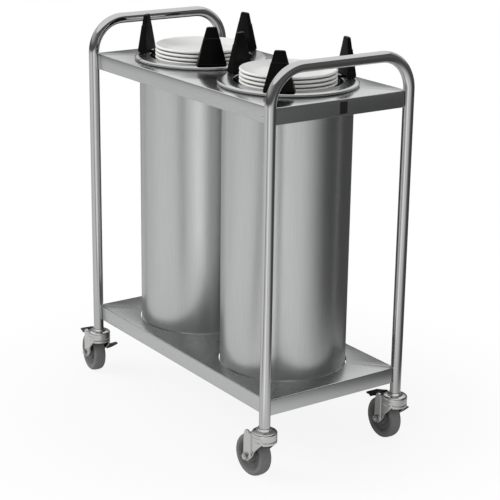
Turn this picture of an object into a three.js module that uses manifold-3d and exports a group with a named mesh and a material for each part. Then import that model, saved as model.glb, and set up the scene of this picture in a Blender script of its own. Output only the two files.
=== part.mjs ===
// Two-well plate dispenser cart: a welded tube frame on four swivel casters carries two
// self-levelling plate wells between a deck and a base shelf.
// Millimetres, +Z up. +X runs along the cart to its right-hand end, the long front faces -Y.

import * as THREE from 'three';
import { mergeVertices } from 'three/addons/utils/BufferGeometryUtils.js';
import Module from 'manifold-3d';

const wasm = await Module();
wasm.setup();

// ---------------------------------------------------------------- driving sizes
const ORIGIN_TO_CART = [36.3, -11.1];    // plan centre of the shelves, seen from the middle of the footprint
const SEAT_GAP = 0.3;                // between pieces that rest on or are welded to each other
const RUNNING_GAP = 0.3;             // between a turning or sliding piece and what carries it

// casters
const CASTER_HEIGHT = 127;           // floor to the end of the frame tube
const WHEEL_DIAMETER = 100;
const WHEEL_WIDTH = 31;
const WHEEL_TRAIL = 37;              // swivel axis to axle
const AXLE_DIAMETER = 10;

// frame and shelves
const TUBE_DIAMETER = 25.4;
const TUBE_WALL = 1.5;
const BEND_RADIUS = 80;
const HANDLE_RISE = 81;              // handle centre line above the deck
const TUBE_BELOW_SHELF = 63;         // tube end below the top of the base shelf
const SHELF_TO_DECK = 659;           // base shelf top to deck top
const END_MARGIN = 36.5;             // well rim to the end of the deck
const SIDE_MARGIN = 23.5;            // well rim to the long side of the deck
const POST_IN = 2.3;                 // tube centre line inside the deck's end
const POST_OUT = 3.8;                // tube centre line outside the deck's long side
const APRON = 38;
const SHEET = 1.5;
const HEM = 12;                      // return flange at the foot of an apron

// plates
const PLATE_DIAMETER = 226;
const PLATE_HEIGHT = 20;
const PLATE_PITCH = 9.3;             // rise of a nested stack per plate
const PLATE_COUNT = 4;               // plates standing in each well
const FOOT_DIAMETER = 130;
const FOOT_WIDTH = 5;
const FOOT_HEIGHT = 3.5;
const PLATE_EDGE = 6;                // height of the rim's outer edge
const EDGE_ROUND = 3;
const PLATE_SWEEP = 14;              // foot to the start of the upswept rim, inside the plate
const PLATE_SEAT_DROP = 11;          // underside of the stack below the deck top

// wells, sized outwards from the plates
const PLATE_CLEARANCE = 11;          // plate edge to the rim's opening
const RIM_WIDTH = 37;                // opening to outer edge
const RIM_HEIGHT = 9.5;
const RIM_BEAD = 5;                  // radius of the rolled outer edge
const RIM_LIP = 7;                   // depth of the turned-down inner lip
const RIM_OVERHANG = 12;             // rim outside the well wall
const RIM_TO_RIM = 38;
const WELL_WALL = 1.5;
const WELL_BELOW_SHELF = 25;         // well's lower edge below the top of the base shelf
const DECK_HOLE_GAP = 0.5;
const SHELF_HOLE_GAP = 5;
const FLANGE_REACH = 8;              // well flange outside the well wall
const FOOT_RING_WIDTH = 47;
const FOOT_RING_SHEET = 3;

// carriers
const PLATFORM_EDGE = 5;             // platform outside the plates
const PLATFORM_HOLE = 60;
const PLATFORM_SKIRT = 9;
const CARRIER_DEPTH = 170;           // platform to spring ring
const CARRIER_PLATE = 3;             // rings and legs of the carrier frame
const RING_CLEARANCE = 5.5;          // carrier ring to the well wall
const RING_WIDTH = 42;
const LEG_INSET = 6;                 // legs inside the platform's edge
const LEG_WIDTH = 22;
const LEG_FOOT = 18;                 // turned in under the platform
const ROD_DIAMETER = 8;
const ROD_INSET = 6;                 // guide rods inside the carrier ring's edge
const BUSH_WALL = 3.5;
const BUSH_LENGTH = 30;
const SPRING_INSET = 11;             // springs inside the carrier ring's edge
const SPRING_DIAMETER = 10;
const SPRING_WIRE = 2;

// plate guides
const GUIDE_SETBACK = 18;            // rim's opening to a guide's middle
const GUIDE_HEIGHT = 90;
const GUIDE_FOOT_WIDTH = 71;
const GUIDE_TOP_WIDTH = 24.5;
const GUIDE_FOOT_DEPTH = 22;
const GUIDE_TOP_DEPTH = 9;
const GUIDE_FOOT_ROUND = 7;
const GUIDE_TOP_ROUND = 3;
const GUIDE_STEP = 1;                // upper part of the outer face lies this much deeper
const GUIDE_STEP_HEIGHT = 63;
const STUD_DIAMETER = 5;
const NUT_DIAMETER = 9;
const NUT_HEIGHT = 4;
const GUIDE_TURN = { left: -23, right: -44 };   // degrees, first guide of each well from +X

// caster forks, in the caster's own frame: swivel axis at x = 0, the wheel trails to +x
const HEAD_DIAMETER = 58;
const HEAD_DROP = 6;                 // head top below the tube end
const HEAD_HEIGHT = 28;
const HEAD_TOP = 5;                  // thickness of the head's top
const FORK_SHEET = 3;
const WHEEL_SIDE_GAP = 2.7;          // wheel to fork leg
const WHEEL_TREAD_GAP = 4;           // tread to the fork's crown
const AXLE_BOSS = 15;                // radius of a leg's lower end
const LEG_LEAD_EDGE = -19;
const HEAD_ROUND = 3;
const COLLAR_DIAMETER = 34;
const COLLAR_BEVEL = 1.5;
const AXLE_HEAD = 18;
const AXLE_HEAD_HEIGHT = 5;
const HUB_DIAMETER = 72;
const HUB_BOSS = 26;
const HUB_WEB = 12;
const HUB_DISH = 8;                  // slope from the hub's web up to its rim
const SHOULDER = 2;                  // hub and tyre edge inside the tyre's full width
const TREAD_ROUND = 8;
const KINGPIN_DIAMETER = 12;
const KINGPIN_HEAD = 24;
const KINGPIN_HEAD_HEIGHT = 3.7;
const STEM_LENGTH = 55;
const PEDAL_X = 36;
const PEDAL_RISE = 7.5;              // pedal pin above the top of the wheel
const PIVOT_EAR = 6.5;
const PEDAL_PIN = 6;
const PEDAL_TIP = 92;
const PEDAL_WIDTH = 32;
const LEVER_PIVOT = [-25, 70];       // y, z
const LEVER_X = [20, 34];
const LEVER_REACH = 36;
const LEVER_DROP = 14;               // foot of the lever's bend below its pin
const LEVER_TIP_DROP = 3;            // tip below the pin
const LEVER_PIN = 3;
const LUG_SHEET = 2.5;
const CASTERS = {
  left_front: { x: -1, y: -1, heading: 173, brake: true },
  left_rear: { x: -1, y: 1, heading: 186, brake: false },
  right_front: { x: 1, y: -1, heading: 184, brake: false },
  right_rear: { x: 1, y: 1, heading: 178, brake: true },
};

// roundness
const TUBE_SIDES = 12;
const BEND_STEPS = 5;
const WELL_SIDES = 28;
const RING_SIDES = WELL_SIDES / 2;
const PLATE_SIDES = 18;
const WHEEL_SIDES = 16;
const HEAD_SIDES = 12;
const SMALL_SIDES = 8;
const SPRING_SIDES = 6;

// ---------------------------------------------------------------- worked out from them
const RIM_OPENING = PLATE_DIAMETER + 2 * PLATE_CLEARANCE;
const RIM_DIAMETER = RIM_OPENING + 2 * RIM_WIDTH;
const WELL_RADIUS = RIM_DIAMETER / 2 - RIM_OVERHANG;
const WELL_INSIDE = WELL_RADIUS - WELL_WALL;
const WELL_X = (RIM_DIAMETER + RIM_TO_RIM) / 2;
const SHELF_LENGTH = 2 * WELL_X + RIM_DIAMETER + 2 * END_MARGIN;
const SHELF_DEPTH = RIM_DIAMETER + 2 * SIDE_MARGIN;
const POST_X = SHELF_LENGTH / 2 - POST_IN;
const POST_Y = SHELF_DEPTH / 2 + POST_OUT;
const SHELF_TOP = CASTER_HEIGHT + TUBE_BELOW_SHELF;
const DECK_TOP = SHELF_TOP + SHELF_TO_DECK;
const HANDLE_Z = DECK_TOP + HANDLE_RISE;
const WELL_FOOT = SHELF_TOP - WELL_BELOW_SHELF;
const FLANGE_FOOT = DECK_TOP + SEAT_GAP;
const FLANGE_TOP = FLANGE_FOOT + SHEET;
const RIM_TOP = DECK_TOP + RIM_HEIGHT;
const RIM_UNDERSIDE = RIM_TOP - SHEET;
const FOOT_RING_TOP = WELL_FOOT + FOOT_RING_SHEET;
const GUIDE_RADIUS = RIM_OPENING / 2 + GUIDE_SETBACK;
const PLATFORM_RADIUS = PLATE_DIAMETER / 2 + PLATFORM_EDGE;
const RING_RADIUS = WELL_INSIDE - RING_CLEARANCE;
const ROD_RADIUS = RING_RADIUS - ROD_INSET;
const SPRING_RADIUS = RING_RADIUS - SPRING_INSET;
const LEG_RADIUS = PLATFORM_RADIUS - LEG_INSET;
const PLATE_SEAT = DECK_TOP - PLATE_SEAT_DROP;
const PLATFORM_TOP = PLATE_SEAT - SEAT_GAP;
const FRAME_TOP = PLATFORM_TOP - SHEET - SEAT_GAP;
const RING_TOP = FRAME_TOP - CARRIER_DEPTH;
const AXLE_Z = WHEEL_DIAMETER / 2;
const LEG_INSIDE = WHEEL_WIDTH / 2 + WHEEL_SIDE_GAP;
const LEG_OUTSIDE = LEG_INSIDE + FORK_SHEET;
const HEAD_Z = CASTER_HEIGHT - HEAD_DROP;
const PEDAL_PIVOT = [PEDAL_X, WHEEL_DIAMETER + PEDAL_RISE];

// ---------------------------------------------------------------- finishes
const finish = (color, metalness, roughness) =>
  new THREE.MeshStandardMaterial({ color, metalness, roughness });
const brushedStainless = finish(0xb7b9ba, 1, 0.36);
const polishedTube = finish(0xc4c6c8, 1, 0.22);
const zincPlate = finish(0xbfc0bd, 1, 0.4);
const springSteel = finish(0x8f9294, 1, 0.35);
const blackNylon = finish(0x141414, 0, 0.45);
const glazedChina = finish(0xf4f3ee, 0, 0.12);
const greyRubber = finish(0x6d6e6f, 0, 0.7);
const greyPlastic = finish(0x8a8b8c, 0, 0.5);

// ---------------------------------------------------------------- solids
const radians = THREE.MathUtils.degToRad;
const polar = (radius, angle) => [radius * Math.cos(angle), radius * Math.sin(angle)];

// One closed body: positions only, shared vertices merged, slivers dropped, faces outwards.
function closed(geometry) {
  const bare = geometry.clone();
  bare.deleteAttribute('normal');
  bare.deleteAttribute('uv');
  const merged = mergeVertices(bare, 1e-4);
  const place = merged.attributes.position;
  const corners = [];
  let volume = 0;
  const [a, b, c] = [new THREE.Vector3(), new THREE.Vector3(), new THREE.Vector3()];
  for (let i = 0; i < merged.index.count; i += 3) {
    const [p, q, r] = [0, 1, 2].map((k) => merged.index.getX(i + k));
    if (p === q || q === r || r === p) continue;
    corners.push(p, q, r);
    a.fromBufferAttribute(place, p);
    b.fromBufferAttribute(place, q);
    c.fromBufferAttribute(place, r);
    volume += a.dot(b.cross(c));
  }
  merged.setIndex(volume < 0 ? corners.reverse() : corners);
  return merged;
}

function toManifold(geometry) {
  const body = closed(geometry);
  return new wasm.Manifold(new wasm.Mesh({
    numProp: 3,
    vertProperties: new Float32Array(body.attributes.position.array),
    triVerts: new Uint32Array(body.index.array),
  }));
}

function fromManifold(manifold) {
  const { vertProperties, triVerts } = manifold.getMesh();
  const geometry = new THREE.BufferGeometry();
  geometry.setAttribute('position', new THREE.Float32BufferAttribute(vertProperties, 3));
  geometry.setIndex([...triVerts]);
  return geometry;
}

function shaped(start, { add = [], keep = [], cut = [] }) {
  let body = toManifold(start);
  for (const piece of add) body = body.add(toManifold(piece));
  for (const piece of keep) body = body.intersect(toManifold(piece));
  for (const piece of cut) body = body.subtract(toManifold(piece));
  return fromManifold(body);
}

// A profile of [radius, height] points turned about the z axis.
function turned(profile, sides) {
  const loop = profile.map(([r, z]) => new THREE.Vector2(r, z));
  if (profile[0][0] > 0) loop.push(loop[0].clone());
  return closed(new THREE.LatheGeometry(loop, sides).rotateX(Math.PI / 2));
}

// An outline carried along an axis between two places.
const AXES = {
  x: [[0, 1, 0], [0, 0, 1], [1, 0, 0]],
  y: [[0, 0, 1], [1, 0, 0], [0, 1, 0]],
  z: [[1, 0, 0], [0, 1, 0], [0, 0, 1]],
};

function extruded(axis, outline, from, to) {
  const shape = outline instanceof THREE.Shape ? outline
    : new THREE.Shape(outline.map(([u, v]) => new THREE.Vector2(u, v)));
  const geometry = new THREE.ExtrudeGeometry(shape, { depth: to - from, bevelEnabled: false, curveSegments: 4 });
  const basis = AXES[axis].map((v) => new THREE.Vector3(...v));
  geometry.translate(0, 0, from).applyMatrix4(new THREE.Matrix4().makeBasis(...basis));
  return closed(geometry);
}

const circle = (radius, sides, u = 0, v = 0) => Array.from({ length: sides }, (_, i) => {
  const [du, dv] = polar(radius, (i + 0.5) * 2 * Math.PI / sides);
  return [u + du, v + dv];
});

// points along an arc, both ends included, angles in degrees
const arc = (u, v, radius, from, to, steps) => Array.from({ length: steps + 1 }, (_, i) => {
  const [du, dv] = polar(radius, radians(from + (to - from) * i / steps));
  return [u + du, v + dv];
});

const around = (count, first, place) => Array.from({ length: count }, (_, i) => place(radians(first + i * 360 / count), i));

// ---------------------------------------------------------------- the assembly
const cart = new THREE.Group();
cart.position.set(...ORIGIN_TO_CART, 0);

function piece(name, geometry, material, parent = cart) {
  const mesh = new THREE.Mesh(closed(geometry), material);
  mesh.name = name;
  parent.add(mesh);
  return mesh;
}

// ---------------------------------------------------------------- end frames
// One tube: up a post, over two bends and down the other post, in the plane of one end.
class HoopPath extends THREE.Curve {
  constructor(x) {
    super();
    this.x = x;
  }

  get steps() {
    return 2 * BEND_STEPS + 3;
  }

  // one step for each straight and BEND_STEPS for each bend
  getUtoTmapping(u) {
    return u;
  }

  at(t) {
    const s = t * this.steps;
    const spring = HANDLE_Z - BEND_RADIUS;
    const inner = POST_Y - BEND_RADIUS;
    const bend = (k) => k / BEND_STEPS * Math.PI / 2;
    if (s <= 1) {
      return [-POST_Y, THREE.MathUtils.lerp(CASTER_HEIGHT, spring, s), 0, 1];
    }
    if (s <= 1 + BEND_STEPS) {
      const a = bend(s - 1);
      return [-inner - BEND_RADIUS * Math.cos(a), spring + BEND_RADIUS * Math.sin(a), Math.sin(a), Math.cos(a)];
    }
    if (s <= 2 + BEND_STEPS) {
      return [THREE.MathUtils.lerp(-inner, inner, s - 1 - BEND_STEPS), HANDLE_Z, 1, 0];
    }
    if (s <= 2 + 2 * BEND_STEPS) {
      const a = bend(s - 2 - BEND_STEPS);
      return [inner + BEND_RADIUS * Math.sin(a), spring + BEND_RADIUS * Math.cos(a), Math.cos(a), -Math.sin(a)];
    }
    return [POST_Y, THREE.MathUtils.lerp(spring, CASTER_HEIGHT, s - 2 - 2 * BEND_STEPS), 0, -1];
  }

  getPoint(t, target = new THREE.Vector3()) {
    const [y, z] = this.at(t);
    return target.set(this.x, y, z);
  }

  getTangent(t, target = new THREE.Vector3()) {
    const [, , dy, dz] = this.at(t);
    return target.set(0, dy, dz);
  }
}

function endFrame(x) {
  const ring = (radius) => circle(radius, TUBE_SIDES).map(([u, v]) => new THREE.Vector2(u, v));
  const section = new THREE.Shape(ring(TUBE_DIAMETER / 2));
  section.holes.push(new THREE.Path(ring(TUBE_DIAMETER / 2 - TUBE_WALL)));
  const path = new HoopPath(x);
  return new THREE.ExtrudeGeometry(section, { steps: path.steps, extrudePath: path });
}

piece('end_frame_left', endFrame(-POST_X), polishedTube);
piece('end_frame_right', endFrame(POST_X), polishedTube);

// ---------------------------------------------------------------- deck and base shelf
// Plan of a shelf, drawn in by `inset`, with a round notch at each corner for the post.
function shelfPlan(inset) {
  const halfLength = SHELF_LENGTH / 2 - inset;
  const halfDepth = SHELF_DEPTH / 2 - inset;
  const notch = TUBE_DIAMETER / 2 + SEAT_GAP + inset;
  const toEnd = Math.asin((halfLength - POST_X) / notch);
  const toSide = Math.acos((POST_Y - halfDepth) / notch);
  const quarter = Array.from({ length: 6 }, (_, i) => {
    const a = THREE.MathUtils.lerp(toEnd, -toSide, i / 5);
    return [POST_X + notch * Math.sin(a), POST_Y - notch * Math.cos(a)];
  });
  const mirrored = (sx, sy) => {
    const corner = quarter.map(([x, y]) => [sx * x, sy * y]);
    return sx * sy > 0 ? corner : corner.reverse();
  };
  return [...mirrored(1, 1), ...mirrored(-1, 1), ...mirrored(-1, -1), ...mirrored(1, -1)];
}

const WELLS = { left: -WELL_X, right: WELL_X };

function shelf(top, holeGap) {
  const foot = top - APRON;
  const holes = Object.values(WELLS).map((x) =>
    turned([[0, foot], [WELL_RADIUS + holeGap, foot], [WELL_RADIUS + holeGap, top + SHEET], [0, top + SHEET]],
      WELL_SIDES).translate(x, 0, 0));
  return shaped(extruded('z', shelfPlan(0), foot, top), {
    cut: [
      extruded('z', shelfPlan(SHEET), foot + SHEET, top - SHEET),
      extruded('z', shelfPlan(SHEET + HEM), foot - SHEET, foot + 2 * SHEET),
      ...holes,
    ],
  });
}

piece('top_deck', shelf(DECK_TOP, DECK_HOLE_GAP), brushedStainless);
piece('base_shelf', shelf(SHELF_TOP, SHELF_HOLE_GAP), brushedStainless);

// ---------------------------------------------------------------- wells
function wellShell() {
  return turned([
    [WELL_INSIDE, WELL_FOOT], [WELL_RADIUS, WELL_FOOT], [WELL_RADIUS, FLANGE_FOOT],
    [WELL_RADIUS + FLANGE_REACH, FLANGE_FOOT], [WELL_RADIUS + FLANGE_REACH, FLANGE_TOP],
    [WELL_INSIDE, FLANGE_TOP],
  ], WELL_SIDES);
}

function wellRim(turn) {
  const outer = RIM_DIAMETER / 2;
  const opening = RIM_OPENING / 2;
  const bead = arc(outer - RIM_BEAD, RIM_TOP - RIM_BEAD, RIM_BEAD, 90, 0, 2);
  const ring = turned([
    [opening, RIM_TOP - RIM_LIP], [opening, RIM_TOP], ...bead,
    [outer, DECK_TOP + SEAT_GAP], [outer - SHEET, DECK_TOP + SEAT_GAP], [outer - RIM_BEAD, RIM_UNDERSIDE],
    [opening + SHEET, RIM_UNDERSIDE], [opening + SHEET, RIM_TOP - RIM_LIP],
  ], WELL_SIDES);
  const holes = around(3, turn, (a) => extruded('z',
    circle(STUD_DIAMETER / 2 + SEAT_GAP, 6, GUIDE_RADIUS, 0), RIM_UNDERSIDE - SHEET, RIM_TOP + SHEET).rotateZ(a));
  return shaped(ring, { cut: holes });
}

// The ring in the well's foot, with the carrier's three guide rods welded to it.
function wellFoot(turn) {
  const outer = WELL_INSIDE - SEAT_GAP;
  const inner = outer - FOOT_RING_WIDTH;
  const ring = turned([[inner, WELL_FOOT], [outer, WELL_FOOT], [outer, FOOT_RING_TOP], [inner, FOOT_RING_TOP]], RING_SIDES);
  const rods = around(3, turn + 60, (a) => extruded('z',
    circle(ROD_DIAMETER / 2, SMALL_SIDES, ...polar(ROD_RADIUS, a)),
    FOOT_RING_TOP - FOOT_RING_SHEET / 2, RIM_UNDERSIDE - SEAT_GAP));
  return shaped(ring, { add: rods });
}

// An extension spring: a close-wound body with an eye's shank at each end.
function liftSpring() {
  const low = RING_TOP + SEAT_GAP;
  const high = RIM_UNDERSIDE - SEAT_GAP;
  const body = SPRING_DIAMETER / 2;
  const shank = SPRING_WIRE / 2;
  return turned([
    [0, low], [shank, low], [shank, low + body], [body, low + 2 * body],
    [body, high - 2 * body], [shank, high - body], [shank, high], [0, high],
  ], SPRING_SIDES);
}

// ---------------------------------------------------------------- carriers
function platform() {
  const outer = PLATFORM_RADIUS;
  const hole = PLATFORM_HOLE / 2;
  return turned([
    [hole, PLATFORM_TOP - SHEET], [hole, PLATFORM_TOP], [outer - SHEET, PLATFORM_TOP],
    [outer, PLATFORM_TOP - SHEET], [outer, PLATFORM_TOP - PLATFORM_SKIRT],
    [outer - SHEET, PLATFORM_TOP - PLATFORM_SKIRT], [outer - SHEET, PLATFORM_TOP - SHEET],
  ], RING_SIDES);
}

// A ring hung from the platform by three legs, with bushes that run on the rods.
function carrierFrame(turn) {
  const inner = RING_RADIUS - RING_WIDTH;
  const ring = turned([
    [inner, RING_TOP - CARRIER_PLATE], [RING_RADIUS, RING_TOP - CARRIER_PLATE],
    [RING_RADIUS, RING_TOP], [inner, RING_TOP],
  ], RING_SIDES);
  // side view of a leg as [z, x]: an upright with a foot turned in under the platform
  const leg = [
    [RING_TOP - CARRIER_PLATE / 2, LEG_RADIUS], [FRAME_TOP, LEG_RADIUS], [FRAME_TOP, LEG_RADIUS - LEG_FOOT],
    [FRAME_TOP - CARRIER_PLATE, LEG_RADIUS - LEG_FOOT], [FRAME_TOP - CARRIER_PLATE, LEG_RADIUS - CARRIER_PLATE],
    [RING_TOP - CARRIER_PLATE / 2, LEG_RADIUS - CARRIER_PLATE],
  ];
  const legs = around(3, turn + 60, (a) => extruded('y', leg, -LEG_WIDTH / 2, LEG_WIDTH / 2).rotateZ(a));
  const bushMiddle = RING_TOP - CARRIER_PLATE / 2;
  const barrels = (radius, length) => around(3, turn + 60, (a) => extruded('z',
    circle(radius, SMALL_SIDES, ...polar(ROD_RADIUS, a)), bushMiddle - length / 2, bushMiddle + length / 2));
  const bore = ROD_DIAMETER / 2 + RUNNING_GAP;
  return shaped(ring, { add: [...legs, ...barrels(bore + BUSH_WALL, BUSH_LENGTH)], cut: barrels(bore, 2 * BUSH_LENGTH) });
}

// A dinner plate: foot ring, flat well and an upswept rim with a thick rounded edge.
function plate() {
  const edge = PLATE_DIAMETER / 2;
  const foot = FOOT_DIAMETER / 2;
  const seat = PLATE_PITCH - SEAT_GAP;    // inside of the plate over its foot, where the next one stands
  return turned([
    [0, FOOT_HEIGHT], [foot - FOOT_WIDTH, FOOT_HEIGHT], [foot - FOOT_WIDTH, 0], [foot, 0],
    [foot + PLATE_SWEEP / 2, FOOT_HEIGHT], [edge - EDGE_ROUND / 2, PLATE_HEIGHT - PLATE_EDGE],
    [edge, PLATE_HEIGHT - EDGE_ROUND], [edge - EDGE_ROUND, PLATE_HEIGHT],
    [foot + PLATE_SWEEP, seat], [0, seat],
  ], PLATE_SIDES);
}

// ---------------------------------------------------------------- plate guides
// A moulded wedge clamped on the rim by its own stud: x outwards from the well, z up from the rim.
function plateGuide() {
  const half = GUIDE_TOP_WIDTH / 2 - GUIDE_TOP_ROUND;
  const front = [
    [-GUIDE_FOOT_WIDTH / 2, 0], [GUIDE_FOOT_WIDTH / 2, 0],
    ...arc(half, GUIDE_HEIGHT - GUIDE_TOP_ROUND, GUIDE_TOP_ROUND, 10, 90, 2),
    ...arc(-half, GUIDE_HEIGHT - GUIDE_TOP_ROUND, GUIDE_TOP_ROUND, 90, 170, 2),
  ];
  const foot = GUIDE_FOOT_DEPTH / 2;
  const top = GUIDE_TOP_DEPTH / 2;
  const outerAt = (z) => THREE.MathUtils.lerp(foot, top, z / GUIDE_HEIGHT);
  // outline as [z, x] pairs
  const side = [
    [0, -foot], [GUIDE_HEIGHT, -top], [GUIDE_HEIGHT, top - GUIDE_STEP],
    [GUIDE_STEP_HEIGHT + GUIDE_STEP, outerAt(GUIDE_STEP_HEIGHT) - GUIDE_STEP], [GUIDE_STEP_HEIGHT, outerAt(GUIDE_STEP_HEIGHT)],
    ...arc(GUIDE_FOOT_ROUND, outerAt(GUIDE_FOOT_ROUND) - GUIDE_FOOT_ROUND, GUIDE_FOOT_ROUND, 90, 180, 3),
  ];
  const reach = GUIDE_FOOT_WIDTH;
  const underRim = -SHEET - 2 * SEAT_GAP;
  const stud = extruded('z', circle(STUD_DIAMETER / 2, 6), underRim - NUT_HEIGHT / 2, SEAT_GAP);
  const nut = extruded('z', circle(NUT_DIAMETER / 2, 6), underRim - NUT_HEIGHT, underRim);
  const wedge = shaped(extruded('x', front, -reach, reach), { keep: [extruded('y', side, -reach, reach)] });
  return shaped(wedge, { add: [stud, nut] });
}

// ---------------------------------------------------------------- both wells
for (const [side, x] of Object.entries(WELLS)) {
  const turn = GUIDE_TURN[side];
  const well = new THREE.Group();
  well.position.x = x;
  cart.add(well);
  piece(`well_shell_${side}`, wellShell(), brushedStainless, well);
  piece(`well_rim_${side}`, wellRim(turn), brushedStainless, well);
  piece(`well_foot_${side}`, wellFoot(turn), brushedStainless, well);
  piece(`carrier_platform_${side}`, platform(), brushedStainless, well);
  piece(`carrier_frame_${side}`, carrierFrame(turn), zincPlate, well);
  around(3, turn, (a, i) => {
    const guide = piece(`plate_guide_${side}_${i + 1}`, plateGuide(), blackNylon, well);
    guide.position.set(...polar(GUIDE_RADIUS, a), RIM_TOP + SEAT_GAP);
    guide.rotation.z = a;
    const spring = piece(`lift_spring_${side}_${i + 1}`, liftSpring(), springSteel, well);
    spring.position.set(...polar(SPRING_RADIUS, a), 0);
  });
  for (let i = 0; i < PLATE_COUNT; i += 1) {
    const dish = piece(`plate_${side}_${i + 1}`, plate(), glazedChina, well);
    dish.position.z = PLATE_SEAT + i * PLATE_PITCH;
  }
}

// ---------------------------------------------------------------- casters
// Plug in the tube, collar under its end, kingpin through the fork head, all turned in one.
function casterStem() {
  const collarFoot = HEAD_Z + SEAT_GAP;
  const collarTop = CASTER_HEIGHT - SEAT_GAP;
  const pinHead = HEAD_Z - HEAD_TOP - SEAT_GAP;
  const bore = TUBE_DIAMETER / 2 - TUBE_WALL;
  const plug = bore * Math.cos(Math.PI / TUBE_SIDES) - SEAT_GAP;
  return turned([
    [0, pinHead - KINGPIN_HEAD_HEIGHT], [KINGPIN_HEAD / 2, pinHead - KINGPIN_HEAD_HEIGHT],
    [KINGPIN_HEAD / 2, pinHead], [KINGPIN_DIAMETER / 2, pinHead], [KINGPIN_DIAMETER / 2, collarFoot],
    [COLLAR_DIAMETER / 2, collarFoot], [COLLAR_DIAMETER / 2 - COLLAR_BEVEL, collarTop], [plug, collarTop],
    [plug, collarTop + STEM_LENGTH], [0, collarTop + STEM_LENGTH],
  ], HEAD_SIDES);
}

// A cylinder across the caster, at a place [x, z].
const crosswise = (radius, sides, [x, z], from, to) => extruded('y', circle(radius, sides, z, x), from, to);
const AXLE = [WHEEL_TRAIL, AXLE_Z];

// Side view of a fork leg as [z, x]: down from the head, swept back to the axle boss, up to the ear.
function legOutline() {
  const [earX, earZ] = PEDAL_PIVOT;
  const boss = arc(AXLE_Z, WHEEL_TRAIL, AXLE_BOSS, -65, -290, 5);
  const ear = arc(earZ, earX, PIVOT_EAR, 105, -20, 3);
  const sweep = (from, bend, to, steps) => new THREE.QuadraticBezierCurve(
    new THREE.Vector2(...from), new THREE.Vector2(...bend), new THREE.Vector2(...to),
  ).getPoints(steps).slice(1, -1).map((p) => [p.x, p.y]);
  const headFoot = [HEAD_Z - HEAD_HEIGHT, LEG_LEAD_EDGE];
  return [
    [HEAD_Z - HEAD_TOP / 2, LEG_LEAD_EDGE], headFoot,
    ...sweep(headFoot, [AXLE_Z + 2 * AXLE_BOSS, WHEEL_TRAIL - 2 * AXLE_BOSS], boss[0], 3), ...boss,
    ...sweep(boss.at(-1), [earZ - 2 * PIVOT_EAR, WHEEL_TRAIL + AXLE_BOSS], ear[0], 2), ...ear,
    [HEAD_Z - HEAD_TOP / 2, -LEG_LEAD_EDGE],
  ];
}

// A deep drawn head with two legs, cut away round the wheel.
function fork(brake) {
  const outer = HEAD_DIAMETER / 2;
  const hole = KINGPIN_DIAMETER / 2 + RUNNING_GAP;
  const head = turned([
    [hole, HEAD_Z - HEAD_TOP], [outer - FORK_SHEET, HEAD_Z - HEAD_TOP], [outer - FORK_SHEET, HEAD_Z - HEAD_HEIGHT],
    [outer, HEAD_Z - HEAD_HEIGHT], [outer, HEAD_Z - HEAD_ROUND], [outer - HEAD_ROUND, HEAD_Z], [hole, HEAD_Z],
  ], HEAD_SIDES);
  const legs = [extruded('y', legOutline(), LEG_INSIDE, LEG_OUTSIDE), extruded('y', legOutline(), -LEG_OUTSIDE, -LEG_INSIDE)];
  const axleHole = crosswise(AXLE_DIAMETER / 2 + SEAT_GAP, SMALL_SIDES, AXLE, -HEAD_DIAMETER, HEAD_DIAMETER);
  const wheelSpace = crosswise(WHEEL_DIAMETER / 2 + WHEEL_TREAD_GAP, WHEEL_SIDES, AXLE, -LEG_INSIDE, LEG_INSIDE);
  if (!brake) return shaped(head, { add: legs, cut: [axleHole, wheelSpace] });

  const pedalHole = crosswise(PEDAL_PIN / 2 + RUNNING_GAP, SMALL_SIDES, PEDAL_PIVOT, -HEAD_DIAMETER, HEAD_DIAMETER);
  const [pivotY, pivotZ] = LEVER_PIVOT;
  const lug = [
    [pivotY - LEVER_PIN, pivotZ - LEVER_PIN - 1], [-LEG_OUTSIDE + FORK_SHEET / 2, pivotZ - LEVER_PIN - 1],
    [-LEG_OUTSIDE + FORK_SHEET / 2, pivotZ + LEVER_PIN + 1], [pivotY - LEVER_PIN, pivotZ + LEVER_PIN + 1],
  ];
  const [near, far] = LEVER_X;
  const lugs = [
    extruded('x', lug, near - RUNNING_GAP - LUG_SHEET, near - RUNNING_GAP),
    extruded('x', lug, far + RUNNING_GAP, far + RUNNING_GAP + LUG_SHEET),
  ];
  const leverHole = extruded('x', circle(LEVER_PIN / 2 + RUNNING_GAP, 8, pivotY, pivotZ),
    near - 2 * LUG_SHEET, far + 2 * LUG_SHEET);
  return shaped(head, { add: [...legs, ...lugs], cut: [axleHole, wheelSpace, pedalHole, leverHole] });
}

function axle() {
  const seat = LEG_OUTSIDE + SEAT_GAP;
  return shaped(crosswise(AXLE_DIAMETER / 2, SMALL_SIDES, AXLE, -seat - AXLE_HEAD_HEIGHT, seat + AXLE_HEAD_HEIGHT + 2), {
    add: [
      crosswise(AXLE_HEAD / 2, 6, AXLE, -seat - AXLE_HEAD_HEIGHT, -seat),
      crosswise(AXLE_HEAD / 2, 6, AXLE, seat, seat + AXLE_HEAD_HEIGHT),
    ],
  });
}

// Wheel profiles are [radius, place across the wheel]; a flat of the tread faces the floor.
const FLATS = 1 / Math.cos(Math.PI / WHEEL_SIDES);
const wheelTurned = (profile) => turned(profile.map(([r, y]) => [r * FLATS, y]), WHEEL_SIDES)
  .rotateX(-Math.PI / 2).rotateY(Math.PI / WHEEL_SIDES).translate(WHEEL_TRAIL, 0, AXLE_Z);

function hub() {
  const half = WHEEL_WIDTH / 2;
  const rim = HUB_DIAMETER / 2;
  const side = (s) => [
    [AXLE_DIAMETER / 2 + RUNNING_GAP, s * half], [HUB_BOSS / 2, s * half],
    [rim - HUB_DISH, s * HUB_WEB / 2], [rim, s * (half - SHOULDER)],
  ];
  return wheelTurned([...side(-1), ...side(1).reverse()]);
}

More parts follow.
